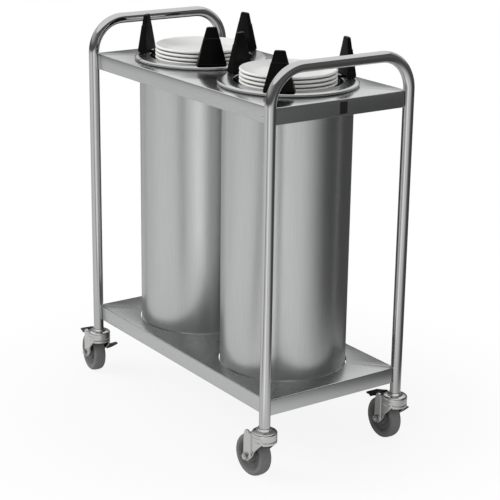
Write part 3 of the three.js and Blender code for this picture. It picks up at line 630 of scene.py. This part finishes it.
def rim_profile(size):
    """Half section of a rim: lip turned down inside, flat flange, and an outer edge rolled over in
    a quarter ellipse and tucked under on the deck."""
    bead, sheet, lip, tuck = size["rim_bead"], size["sheet"], 3.0, 62
    tall, foot = RIM_TOP - RIM_LOW[2], RIM_TOP - 7
    opening, start = RIM_RADIUS - RIM_WIDTH, RIM_RADIUS - bead
    a = np.radians(np.linspace(90, -tuck, 20))
    middle_z = RIM_LOW[2] + 0.56 * tall
    rise = np.where(a > 0, RIM_TOP - middle_z,
                    (middle_z - RIM_LOW[2]) / np.sin(np.radians(tuck)))
    roll = np.column_stack([start + bead * np.cos(a), middle_z + rise * np.sin(a)])
    under = np.column_stack([start + (bead - sheet) * np.cos(a),
                             middle_z + (rise - sheet) * np.sin(a)])
    under[:, 1] = np.maximum(under[:, 1], RIM_LOW[2])
    turn, inner_turn = (arc_points(opening + lip, RIM_TOP - lip, radius, -90, 0, 7)
                        for radius in (lip, lip - sheet))
    return np.concatenate([[[opening, foot]], turn, roll, under[::-1], inner_turn[::-1],
                           [[opening + sheet, foot]]])


def plate_profile(size, seat):
    """Half section of a plate over its seat: foot ring, flat well, swept rim and a thick round
    edge."""
    low, high = box_mm("plate_left_1")
    edge, tall = (high[0] - low[0]) / 2, high[2] - low[2]
    foot, inside = size["plate_foot"] / 2, 9.0
    section = rounded([(0, 3.5), (foot - 5, 3.5), (foot - 4, 0), (foot - 0.6, 0), (foot + 3, 4.2),
                       (edge - 6, tall - 7.5), (edge - 0.5, tall - 6), (edge, tall - 2.4),
                       (edge - 2.8, tall - 0.1), (edge - 8, tall - 2.2),
                       (foot + 16, inside + 0.6), (foot + 8, inside), (0, inside)],
                      [0, 1.2, 1.0, 1.0, 2.5, 1.5, 1.6, 1.6, 1.6, 2.0, 6, 3, 0], closed=False)
    return section + [0, seat]


class CART_OT_wells(bpy.types.Operator):
    """Rolls the two wells and spins their rims"""

    bl_idname = "cart.wells"
    bl_label = "Wells"

    def execute(self, context):
        size = sizes()
        for side, (x, y) in WELLS.items():
            make_piece(f"rolled_well_{side}",
                       [moved(revolved(shell_profile(size), 128), (x, y, 0))],
                       "ground_stainless_drawn", "cart_frame",
                       [f"well_shell_{side}"])
            make_piece(f"spun_rim_{side}", [moved(revolved(rim_profile(size), 144), (x, y, 0))],
                       "ground_stainless_sheet", "cart_frame",
                       [f"well_rim_{side}"])
        return {"FINISHED"}


class CART_OT_plates(bpy.types.Operator):
    """Turns the eight dinner plates"""

    bl_idname = "cart.plates"
    bl_label = "Plates"

    def execute(self, context):
        size = sizes()
        for side, (x, y) in WELLS.items():
            for level in range(1, 5):
                node = f"plate_{side}_{level}"
                profile = plate_profile(size, box_mm(node)[0][2])
                make_piece(f"dinner_{node}",
                           [moved(revolved(profile, 112, closed=False), (x, y, 0))],
                           "glazed_china", f"carrier_{side}", [node], 60)
        return {"FINISHED"}


# ---------------------------------------------------------------- plate guides

GUIDE_SETBACK = 18.0            # a rim's opening to a guide's middle
GUIDE_FOOT, GUIDE_TOP = (35.5, 11.0), (12.25, 4.5)      # half width and half depth
GUIDE_STEP_HEIGHT, GUIDE_FOOT_ROUND, GUIDE_TOP_ROUND = 63.0, 7.0, 3.0


def guide_body(height):
    """A wedge lofted through rounded rectangles. Its width and depth run straight from foot to
    top, the outer foot is rounded, and from 63 mm up the outer face lies 1 mm deeper and the sides
    0.5 mm."""
    step_z, crown = GUIDE_STEP_HEIGHT, GUIDE_TOP_ROUND
    z = np.concatenate([[0, 0.4], np.linspace(1.5, 8, 6), np.linspace(14, step_z - 0.4, 8),
                        [step_z, step_z + 1.2], np.linspace(68, height - crown, 5),
                        height - crown + crown * np.sin(np.radians([25, 50, 75, 90]))])
    t = z / height
    step = smooth_step(z, step_z - 0.2, step_z + 1.2)
    above = np.clip((z - height + crown) / crown, 0, 1)
    cap = crown * (1 - np.sqrt(np.clip(1 - above**2, 0, 1)))
    base = np.where(z < 0.4, 0.4, 0.0)
    width, depth = ((1 - t) * foot + t * top for foot, top in zip(GUIDE_FOOT, GUIDE_TOP))
    width = width - cap - base - 0.5 * step
    inner, outer = -depth + 0.6 * cap + base, depth - 0.6 * cap - step - base
    below = np.clip(GUIDE_FOOT_ROUND - z, 0, None)
    outer -= GUIDE_FOOT_ROUND - np.sqrt(GUIDE_FOOT_ROUND**2 - below**2)
    corner = np.minimum(2.2, (outer - inner) / 2 - 0.2)
    rows = [with_height(rounded_rectangle((o - i) / 2, w, c) + [(o + i) / 2, 0], level)
            for level, w, i, o, c in zip(z, width, inner, outer, corner)]
    return surface(np.array(rows), wrap_columns=True, caps=True)


def screw(radius, rise, place):
    """A pan head on its seat: a quarter ellipse (r cos a, 0.4 + h sin a) of revolution."""
    a = np.linspace(0, np.pi / 2, 7)
    dome = np.column_stack([radius * np.cos(a), 0.4 + rise * np.sin(a)])
    head = np.concatenate([[[0, 0], [radius, 0]], dome])
    return moved(revolved(head, 28, closed=False), place)


def guide_clip():
    """A strap from the guide's inner foot over the rim's lip and down inside the well."""
    strap = rounded([(-10.4, 0.3), (-10.4, 3.2), (-19.6, 3.2), (-20.6, -6.5), (-18.5, -6.5),
                     (-18.4, 0.3)], [0, 1.2, 1.8, 0.5, 0.5, 0.2], 4)
    return axes(slab(strap, -7, 7, 0.3), "xzy")


class CART_OT_guides(bpy.types.Operator):
    """Moulds the six plate guides, with the clip and screws that hold each to its rim"""

    bl_idname = "cart.guides"
    bl_label = "Plate guides"

    def execute(self, context):
        seat = RIM_TOP + SEAT_GAP
        reach = RIM_RADIUS - RIM_WIDTH + GUIDE_SETBACK
        for side, well in WELLS.items():
            for number in (1, 2, 3):
                node = f"plate_guide_{side}_{number}"
                spring = middle(f"lift_spring_{side}_{number}")[:2] - well
                turn = math.atan2(spring[1], spring[0])
                place = (*(well + reach * np.array([math.cos(turn), math.sin(turn)])), seat)
                body = guide_body(box_mm(node)[1][2] - seat)
                screws = [screw(3.2, 1.6, (-15, y, 3.1)) for y in (-3.6, 3.6)]
                make_piece(f"moulded_{node}",
                           [moved(part, place, turn) for part in (body, guide_clip())],
                           "moulded_black_nylon", "cart_frame", [node], 28)
                make_piece(f"screws_{node}", [moved(part, place, turn) for part in screws],
                           "bright_zinc_plate", "cart_frame", sharp=50)
        return {"FINISHED"}


# ---------------------------------------------------------------- casters
# Each caster is drawn about its swivel axis, with the wheel trailing to +x and the axle along y.
TRAIL, AXLE_Z = 37.0, 50.0
AXLE = (TRAIL, AXLE_Z)
LEG_FACE, LEG_SHEET = 21.2, 3.0         # a leg's outside from the middle, and its thickness
HEAD_RADIUS, HEAD_TALL, HEAD_ROUND = 29.0, 28.0, 5.0
GROOVE_DEPTH = 0.9
EAR = (36.0, 107.5)                     # the pedal's pin, x and z
LEVER_X, LEVER_PIN = 27.0, (-25.0, 70.0)


def heading_of(corner):
    """The caster's heading in radians: from the swivel axis, which is the stem's, to the wheel's
    middle."""
    swivel, wheel = middle(f"caster_stem_{corner}"), middle(f"tyre_{corner}")
    return math.atan2(wheel[1] - swivel[1], wheel[0] - swivel[0])


def crosswise(part, place=AXLE):
    """A part drawn as (u, v, w) is laid with u along x, w along y and v up, at a place (x, z)."""
    return moved(axes(part, "xzy"), (place[0], 0, place[1]))


def even_points(line, count):
    """A polyline resampled to count points at even distances."""
    line = np.array(line, float)
    run = np.concatenate([[0], np.cumsum(np.linalg.norm(np.diff(line, axis=0), axis=1))])
    at = np.linspace(0, run[-1], count)
    return np.column_stack([np.interp(at, run, line[:, k]) for k in (0, 1)])


def groove(away, width):
    """The bell section of a groove, 1 in its middle: e to the power of -(away / width)^2."""
    return np.exp(-(away / width) ** 2)


def fork_head(top):
    """A drawn drum: its wall is a circle with a shallow groove near its foot, and its lower edge
    rises behind, where the wheel passes, and between the legs. Each ring of points lies a share of
    the way from its upper height down to that edge."""
    a = np.linspace(0, 2 * np.pi, 121)[:-1]
    x = HEAD_RADIUS * np.cos(a)
    foot = top - HEAD_TALL + 11 * smooth_step(x, 17, 24)
    foot = np.where(np.abs(x) < 19.3, top - 15, foot)
    roll = arc_points(HEAD_RADIUS - HEAD_ROUND, top - 6.2, HEAD_ROUND, 0, 90, 8)
    down = np.linspace(0.1, 0.97, 16)
    wall = HEAD_RADIUS - GROOVE_DEPTH * groove(down - 0.68, 0.05)
    radius = np.concatenate([[6.3, 7, 18.6, 20.5, 22.5], roll[:, 0], wall,
                             [HEAD_RADIUS - 0.6, HEAD_RADIUS - 2.4],
                             np.full(4, HEAD_RADIUS - LEG_SHEET), [20, 6.3]])
    share = np.concatenate([np.zeros(13), down, [1, 1], np.linspace(0.97, 0, 4), [0, 0]])
    upper = np.concatenate([[top - 0.5, top, top, top - 0.3, top - 0.8], roll[:, 1],
                            np.full(18, top - 6), np.full(4, top - 9), [top - 5, top - 5]])
    z = upper[:, None] + share[:, None] * (foot[None] - upper[:, None])
    points = np.stack([radius[:, None] * np.cos(a), radius[:, None] * np.sin(a), z], -1)
    return surface(points, wrap_rows=True, wrap_columns=True)


def fork_leg(side, top):
    """A pressed leg, between a lead edge and a trail edge that meet under the axle. Its face lies
    on the drum's sqrt(R^2 - x^2) high up and eases to the flat y = 21.2 near the axle; it has the
    drum's groove, a strap round the line from the ear to the axle that stands 1.5 mm higher, and
    edges that turn in."""
    foot, boss, head_foot = top - HEAD_TALL, 12, top - 12
    lead = np.concatenate([[(-19, head_foot), (-19, foot + 8)],
                           rounded([(-19, foot + 4), (-14, 91.5), (28, 42.3)], [0, 6, 0], 6,
                                   closed=False),
                           arc_points(*AXLE, boss, -132, -180)])
    trail = np.concatenate([[(19, head_foot), (24, top - 14)],
                            arc_points(EAR[0], EAR[1] - 3, 10.0, -60, 80, 12),
                            rounded([(46.4, 100), (48.4, 84), (49, 56)], [0, 8, 0], 8,
                                    closed=False),
                            arc_points(*AXLE, boss, 80, 180)])
    rows, columns = 96, 64
    a, b = even_points(lead, rows), even_points(trail, rows)
    s = (1 - np.cos(np.linspace(0, np.pi, columns))) / 2
    plan = a[:, None] * (1 - s)[None, :, None] + b[:, None] * s[None, :, None]
    x, z = plan[..., 0], plan[..., 1]
    drum = np.sqrt(np.clip(HEAD_RADIUS**2 - x**2, LEG_FACE**2, None))
    face = drum + (LEG_FACE - drum) * smooth_step(-z, -AXLE_Z - 28, -AXLE_Z - 2)
    face = face - GROOVE_DEPTH * groove(z - top + 21, 1.1) * smooth_step(-x, -20, -12)
    strap = np.hypot(x - TRAIL + 1, z - np.clip(z, AXLE_Z, EAR[1] - 4))
    face = face + 1.5 * smooth_step(-strap, -12, -10) - 0.7 * groove(strap - 12.6, 1.3)
    turned_in = 2.5                     # width of the edge that turns in
    away = np.minimum(s, 1 - s)[None, :] * np.linalg.norm(b - a, axis=1)[:, None]
    face = face - 1.4 * (1 - np.minimum(away, turned_in) / turned_in) ** 2
    return shell_of(np.stack([x, side * face, z], -1),
                    np.stack([x, side * (face - LEG_SHEET), z], -1))


def fastener(side, radius, thickness, through):
    """Washer, hexagonal nut and the end of the axle, outwards from a leg's face."""
    seat = LEG_FACE + 1.4
    start, end = seat + 1.4, seat + through
    washer = revolved(rounded([(5.2, seat), (radius + 1.8, seat), (radius + 1.8, start),
                               (5.2, start)], 0.3, 3), 40)
    parts = [washer, slab(circle(radius, 6), start, start + thickness, 0.7)]
    if end > start + thickness:
        parts.append(revolved([(0, seat), (4.6, seat), (4.6, end - 0.8), (3.8, end), (0, end)],
                              28, closed=False))
    return [(points * [1, 1, side], faces) for points, faces in parts]


def two_sided(side, cut, steps):
    """One side of a section, in (radius, height), joined to its mirror image below z = 0."""
    return rounded(side + [(r, -w) for r, w in side[::-1]], cut, steps)


def wheel_profile():
    """Half section of the moulded centre: long hub, dished web and a rim that carries the tread."""
    return two_sided([(5.3, 15.2), (9.5, 15.2), (10.5, 13.7), (17.5, 13.7), (18.5, 11.7),
                      (20.5, 7), (30, 6.2), (33, 11.5), (36.1, 13.2)], 0.8, 3)


def tread_profile():
    """Half section of the tread: flat in the middle, with rounded shoulders down to the rim."""
    return two_sided([(36.3, 13.2), (41, 15.2), (45.5, 14.6), (48.6, 11.5), (50, 5)],
                     [0.3, 1.8, 1.8, 1.8, 2.2] * 2, 4)


def pedal_body():
    """The treadle's side outline about its pin, carried across the wheel, with four ribs 5.4 mm
    apart near its tip."""
    outline = np.concatenate([arc_points(0, 0, 5.0, 180, 370, 12), rounded([
        (10, 4.6), (28, -1.2), (54, -9.2), (56, -12), (52.5, -14), (45, -13.2), (38, -16.8),
        (28, -10.6), (12, -5.2)], [3, 6, 1, 1, 1, 2, 1.5, 3, 3], 4)])
    parts = [slab(outline, -16, 16, 1.2)]
    rib = np.array([(-1.4, -1), (1.4, -1.6), (1.0, 1.1), (-0.8, 1.5)])
    for x in 32 + 5.4 * np.arange(4):
        parts.append(slab(rib + [x, -2.0 - (x - 28) * 0.3], -14, 14, 0.4))
    return [crosswise(part, EAR) for part in parts]


def at_lever(part):
    """A part drawn as (y, z, x) about the lever's pin, put in its place."""
    return moved(axes(part, "zxy"), (LEVER_X, *LEVER_PIN))


def lever_body():
    """A bent lever on its pin: a side outline in (y, z) that hangs down beside the leg and stands
    out to a thin tip, carried along x."""
    blade = rounded([(-2.6, -6), (-5, -14), (-21, -10.5), (-35.5, -5.4), (-37, -3), (-18, -4.9),
                     (-5.5, 0.5)], [1.5, 3, 4, 0.8, 0.8, 6, 3], 5)
    outline = np.concatenate([arc_points(0, 0, 2.5, 0, 180, 9), blade])
    return [at_lever(slab(outline, -6.8, 6.8, 0.6)), at_lever(pin(1.5, 9.4, 16))]


def lever_lugs():
    """Two lugs turned out of the fork to hold the lever's pin."""
    lug = rounded([(-3.0, -4), (5.2, -4), (5.2, 4), (-3.0, 4)], [3, 0.3, 0.3, 3], 5)
    return [at_lever(slab(lug, low, low + 2.5, 0.3)) for low in (-9.8, 7.3)]


def stem_profile(head_top):
    """Kingpin, thrust ring with a groove under the tube's end, and the plug inside the tube."""
    return np.array([(0, -9), (11.2, -9), (12, -8.2), (12, -5.3), (6, -5.3), (6, 0.3),
                     (17.8, 0.3), (18.4, 0.8), (18.4, 2), (17.8, 2.8), (14.6, 5.3), (14.2, 5.7),
                     (10.9, 5.7), (10.9, 60), (0, 60)]) + [0, head_top]


class CART_OT_casters(bpy.types.Operator):
    """Presses the forks, turns the wheels and fits the brakes of the two braked casters"""

    bl_idname = "cart.casters"
    bl_label = "Casters"

    def execute(self, context):
        for corner in CORNERS:
            x, y = middle(f"caster_stem_{corner}")[:2]
            turn = heading_of(corner)
            top = box_mm(f"fork_{corner}")[1][2]
            braked = f"brake_pedal_{corner}" in NODES

            def build(name, parts, look, body, node=None, sharp=35.0):
                """A piece of this corner's caster, turned to its heading."""
                make_piece(f"{name}_{corner}", [moved(part, (x, y, 0), turn) for part in parts],
                           look, body if body == "cart_frame" else f"{body}_{corner}",
                           [f"{node}_{corner}"] if node else (), sharp)

            fork = [fork_head(top), fork_leg(1, top), fork_leg(-1, top)]
            axle = fastener(1, 8.4, 5.0, 8.2) + fastener(-1, 8.4, 4.2, 0) + [pin(4.9, 21, 28)]
            build("stem", [revolved(stem_profile(top), 56, closed=False)], "bright_zinc_plate",
                  "cart_frame", "caster_stem", 40)
            build("pressed_fork", fork + (lever_lugs() if braked else []), "bright_zinc_plate",
                  "caster", "fork", 50)
            build("axle_bolt", [crosswise(part) for part in axle], "bright_zinc_plate",
                  "caster", "axle", 30)
            build("wheel_centre", [crosswise(revolved(wheel_profile(), 96))],
                  "moulded_wheel_centre", "wheel", "hub")
            build("tread", [crosswise(revolved(tread_profile(), 120))],
                  "moulded_grey_rubber", "wheel", "tyre")
            if braked:
                build("treadle", pedal_body(), "moulded_black_nylon", "pedal",
                      "brake_pedal", 40)
                build("treadle_pin", [crosswise(pin(2.9, 23, 24), EAR)], "bright_zinc_plate",
                      "pedal", sharp=40)
                build("release_lever", lever_body(), "dark_phosphated_steel", "lever",
                      "brake_lever", 40)
        return {"FINISHED"}


# ---------------------------------------------------------------- lifts


class CART_OT_lifts(bpy.types.Operator):
    """Gives the lift's rods, rings and springs inside the wells their finishes"""

    bl_idname = "cart.lifts"
    bl_label = "Lifts"

    def execute(self, context):
        looks = {"carrier_platform": "ground_stainless_sheet",
                 "carrier_frame": "bright_zinc_plate",
                 "well_foot": "ground_stainless_sheet", "lift_spring": "drawn_spring_wire"}
        for name, node in NODES.items():
            for start, look in looks.items():
                if name.startswith(start):
                    node.data.materials.clear()
                    node.data.materials.append(finish(look))
        return {"FINISHED"}


# ---------------------------------------------------------------- stage
# The camera's place, aim and lens were worked out from the straight edges and corners of the
# frame and shelves. Angles are in degrees, places in metres, the lens and its sensor in mm.
CAMERA_AZIMUTH, CAMERA_PITCH, CAMERA_ROLL = 55.0768, 17.5482, 0.80995
CAMERA_PLACE = (2.92102, -1.99784, 1.51637)
CAMERA_LENS, CAMERA_SENSOR = 108.948, 36
ROOM_RADIUS, ROOM_HEIGHT = 2.6, 3.0


def set_up(name, data, right, up, back, place):
    """A camera or a lamp at its place, with its axes as the columns of its matrix."""
    matrix = np.eye(4)
    matrix[:3, :4] = np.column_stack([right, up, back, place])
    thing = in_scene(name, data)
    thing.matrix_world = Matrix(matrix.tolist())
    return thing


def place_camera():
    """Camera axes from its azimuth and pitch, then turned by its roll about the line of sight."""
    azimuth, pitch, roll = (math.radians(v) for v in (CAMERA_AZIMUTH, CAMERA_PITCH, CAMERA_ROLL))
    back = np.array([math.sin(azimuth) * math.cos(pitch), -math.cos(azimuth) * math.cos(pitch),
                     math.sin(pitch)])
    right = np.array([math.cos(azimuth), math.sin(azimuth), 0])
    up = np.cross(back, right)
    data = bpy.data.cameras.new("camera")
    data.lens, data.sensor_width = CAMERA_LENS, CAMERA_SENSOR
    data.clip_start, data.clip_end = 0.05, 60
    bpy.context.scene.camera = set_up(
        "camera", data, math.cos(roll) * right + math.sin(roll) * up,
        math.cos(roll) * up - math.sin(roll) * right, back, CAMERA_PLACE)


def bump(angle, peak, reach):
    """1 at the peak's angle, falling to 0 at reach degrees on either side as (1 + cos) / 2."""
    away = np.abs((angle - peak + 180) % 360 - 180)
    return np.where(away < reach, (1 + np.cos(np.pi * away / reach)) / 2, 0)


def mirrored_light(x, y, z):
    """Brightness that the metal mirrors from a place in metres, with its angle counted from the
    right through the rear. The floor is pale from the left round the front to the right and dim
    behind, with one bright strip towards the camera and a dark one beside it; near the cart it is
    pale round to the right rear too, and it is dark under the cart. Above is a dim room, lighter
    high up in front on the left, with a bright panel high up behind on the left."""
    angle, far = np.degrees(np.arctan2(y, x)), np.hypot(x, y)
    turned = (angle - 150) % 360
    open_side = smooth_step(turned, 0, 50) * (1 - smooth_step(turned, 194, 246))
    beside = smooth_step(turned, 0, 50) * (1 - smooth_step(turned, 250, 300))
    ground = 0.08 + 0.72 * open_side - 0.14 * bump(angle, 212, 32)
    ground = ground + 0.52 * bump(angle, 319, 11) - 0.56 * bump(angle, 288, 10)
    # Painted shadow: near the cart the mirrored floor is drawn dimmer on the open side, as if in
    # the cart's shadow.
    near = 0.06 + 0.44 * beside + 0.22 * open_side
    ground = ground + (near - ground) * (1 - smooth_step(far, 0.65, 0.95))
    # Painted shadow of the cart: the mirrored floor is darkened under it.
    under = (1 - smooth_step(np.abs(x), 0.34, 0.52)) * (1 - smooth_step(np.abs(y), 0.14, 0.34))
    ground = ground * (1 - 0.6 * under)
    room = 0.12 + 0.45 * bump(angle, 232, 105) * smooth_step(z, 1.1, 1.9)
    room = room + 0.85 * bump(angle, 140, 80) ** 0.5 * smooth_step(z, 1.15, 1.55)
    return ground + (room - ground) * smooth_step(z, 0.45, 0.8)


def round_grid(radius, z):
    """Points (r cos a, r sin a, z) at 180 even angles, a row for each radius or height."""
    a = np.linspace(0, 2 * np.pi, 181)[:-1]
    return np.stack(np.broadcast_arrays(radius * np.cos(a), radius * np.sin(a), z), -1)


def lit_grid(name, points, faces, material):
    """A mesh of a point grid that carries the mirrored light of each point."""
    mesh = bpy.data.meshes.new(name)
    mesh.from_pydata(points.reshape(-1, 3), [], faces.tolist())
    merge_points(mesh, 1e-5, closed=False)
    place = np.empty(len(mesh.vertices) * 3, np.float32)
    mesh.vertices.foreach_get("co", place)
    light = mirrored_light(*place.reshape(-1, 3).T)
    shade = mesh.attributes.new("light", "FLOAT", "POINT")
    shade.data.foreach_set("value", light.astype(np.float32))
    mesh.shade_smooth()
    mesh.materials.append(material)
    stage = in_scene(name, mesh)
    return stage


def studio_walls():
    """A round wall 2.6 m from the cart, from the floor to 3 m, seen only in reflections."""
    points = round_grid(ROOM_RADIUS, np.linspace(0.0, ROOM_HEIGHT, 61)[:, None])
    material = bpy.data.materials.new("studio_wall_light")
    tree = empty_tree(material)
    level = add_node(tree, "ShaderNodeAttribute", attribute_name="light")
    glow = add_node(tree, "ShaderNodeEmission", {"Strength": level.outputs["Fac"]})
    add_node(tree, "ShaderNodeOutputMaterial", {"Surface": glow.outputs["Emission"]})
    faces = grid_faces(*points.shape[:2], wrap_columns=True)[:, ::-1]
    walls = lit_grid("studio_walls", points, faces, material)
    for ray in ("camera", "diffuse", "shadow", "transmission", "volume_scatter"):
        setattr(walls, f"visible_{ray}", False)


def studio_floor():
    """A pale floor that keeps the cart's shadow, fades to white away from it and is mirrored as
    the studio is. It lies 0.4 mm under the wheels."""
    radius = np.concatenate([np.linspace(0, ROOM_RADIUS, 60), [4, 9]])
    points = round_grid(radius[:, None], -0.0004)
    material = bpy.data.materials.new("pale_studio_floor")
    tree = empty_tree(material)
    path = add_node(tree, "ShaderNodeLightPath")
    paper = add_node(tree, "ShaderNodeBsdfDiffuse", {"Color": srgb("e6e6e6")})
    white = add_node(tree, "ShaderNodeEmission", {"Strength": 1.0})
    level = add_node(tree, "ShaderNodeAttribute", attribute_name="light")
    glow = add_node(tree, "ShaderNodeEmission", {"Strength": level.outputs["Fac"]})
    place = add_node(tree, "ShaderNodeTexCoord").outputs["Object"]
    away = add_node(tree, "ShaderNodeVectorMath", {0: place}, operation="LENGTH")
    fade = add_node(tree, "ShaderNodeMapRange", {
        "Value": away.outputs["Value"], "From Min": 0.3, "From Max": 0.95,
        "To Min": 0.88, "To Max": 1.0}, interpolation_type="SMOOTHSTEP")
    share = add_node(tree, "ShaderNodeMath", {
        0: fade.outputs["Result"], 1: path.outputs["Is Camera Ray"]}, operation="MULTIPLY")
    shown = add_node(tree, "ShaderNodeMixShader", {
        0: share.outputs["Value"], 1: paper.outputs["BSDF"], 2: white.outputs["Emission"]})
    mirrored = add_node(tree, "ShaderNodeMixShader", {
        0: path.outputs["Is Glossy Ray"], 1: shown.outputs["Shader"],
        2: glow.outputs["Emission"]})
    add_node(tree, "ShaderNodeOutputMaterial", {"Surface": mirrored.outputs["Shader"]})
    lit_grid("floor", points, grid_faces(*points.shape[:2], wrap_columns=True), material)


def studio_world():
    """White where it is seen, mirrored or met through glass, and a level grey as light."""
    world = bpy.data.worlds.new("studio")
    bpy.context.scene.world = world
    tree = empty_tree(world)
    path = add_node(tree, "ShaderNodeLightPath")
    seen = add_node(tree, "ShaderNodeMath", {
        0: path.outputs["Is Camera Ray"], 1: path.outputs["Is Glossy Ray"]}, operation="MAXIMUM")
    shown = add_node(tree, "ShaderNodeMath", {
        0: seen.outputs["Value"], 1: path.outputs["Is Transmission Ray"]}, operation="MAXIMUM")
    light, white = (add_node(tree, "ShaderNodeBackground", {
        "Color": srgb("ffffff"), "Strength": strength}) for strength in (0.5, 1.0))
    mixed = add_node(tree, "ShaderNodeMixShader", {
        0: shown.outputs["Value"], 1: light.outputs["Background"],
        2: white.outputs["Background"]})
    add_node(tree, "ShaderNodeOutputWorld", {"Surface": mixed.outputs["Shader"]})


def soft_lamp(name, place, aim, size, power):
    """A square area lamp that looks from its place to its aim and isn't mirrored as a square."""
    data = bpy.data.lights.new(name, "AREA")
    data.shape, data.size, data.energy = "SQUARE", size, power
    back = np.array(place, float) - aim
    back /= np.linalg.norm(back)
    right = np.cross([0, 0, 1], back)
    right /= np.linalg.norm(right)
    lamp = set_up(name, data, right, np.cross(back, right), back, place)
    lamp.visible_glossy = False


class CART_OT_stage(bpy.types.Operator):
    """Sets the camera, the pale floor, the studio's walls and its soft lamps"""

    bl_idname = "cart.stage"
    bl_label = "Stage"

    def execute(self, context):
        place_camera()
        studio_floor()
        studio_walls()
        studio_world()
        aim = (0, 0, 0.5)
        soft_lamp("lamp_front_left", (-2.1, -3.0, 2.8), aim, size=2.2, power=100)
        soft_lamp("lamp_right", (3.2, -0.6, 2.6), aim, size=2.0, power=18)
        context.scene.view_settings.view_transform = "Standard"
        return {"FINISHED"}


# ---------------------------------------------------------------- panel and run

STEPS = (CART_OT_frame, CART_OT_shelves, CART_OT_wells, CART_OT_plates, CART_OT_guides,
         CART_OT_casters, CART_OT_lifts, CART_OT_stage)


class CART_PT_panel(bpy.types.Panel):
    """The cart's settings and the steps that build it"""

    bl_idname = "CART_PT_panel"
    bl_label = "Plate dispenser cart"
    bl_space_type = "VIEW_3D"
    bl_region_type = "UI"
    bl_category = "Plate cart"

    def draw(self, context):
        for group in (context.scene.cart_sizes, context.scene.cart_finishes):
            box = self.layout.box()
            for name in group.__annotations__:
                box.prop(group, name)
        for step in STEPS:
            self.layout.operator(step.bl_idname)


CLASSES = (CartSizes, CartFinishes, *STEPS, CART_PT_panel)


def register():
    """Makes the settings, the steps and the panel known."""
    for cls in CLASSES:
        bpy.utils.register_class(cls)
    bpy.types.Scene.cart_sizes = bpy.props.PointerProperty(type=CartSizes)
    bpy.types.Scene.cart_finishes = bpy.props.PointerProperty(type=CartFinishes)


def unregister():
    """Takes them away again, in the opposite order."""
    del bpy.types.Scene.cart_finishes
    del bpy.types.Scene.cart_sizes
    for cls in reversed(CLASSES):
        bpy.utils.unregister_class(cls)


def main():
    """Runs the steps in order."""
    register()
    bpy.ops.cart.frame()
    bpy.ops.cart.shelves()
    bpy.ops.cart.wells()
    bpy.ops.cart.plates()
    bpy.ops.cart.guides()
    bpy.ops.cart.casters()
    bpy.ops.cart.lifts()
    bpy.ops.cart.stage()


if __name__ == "__main__":
    main()
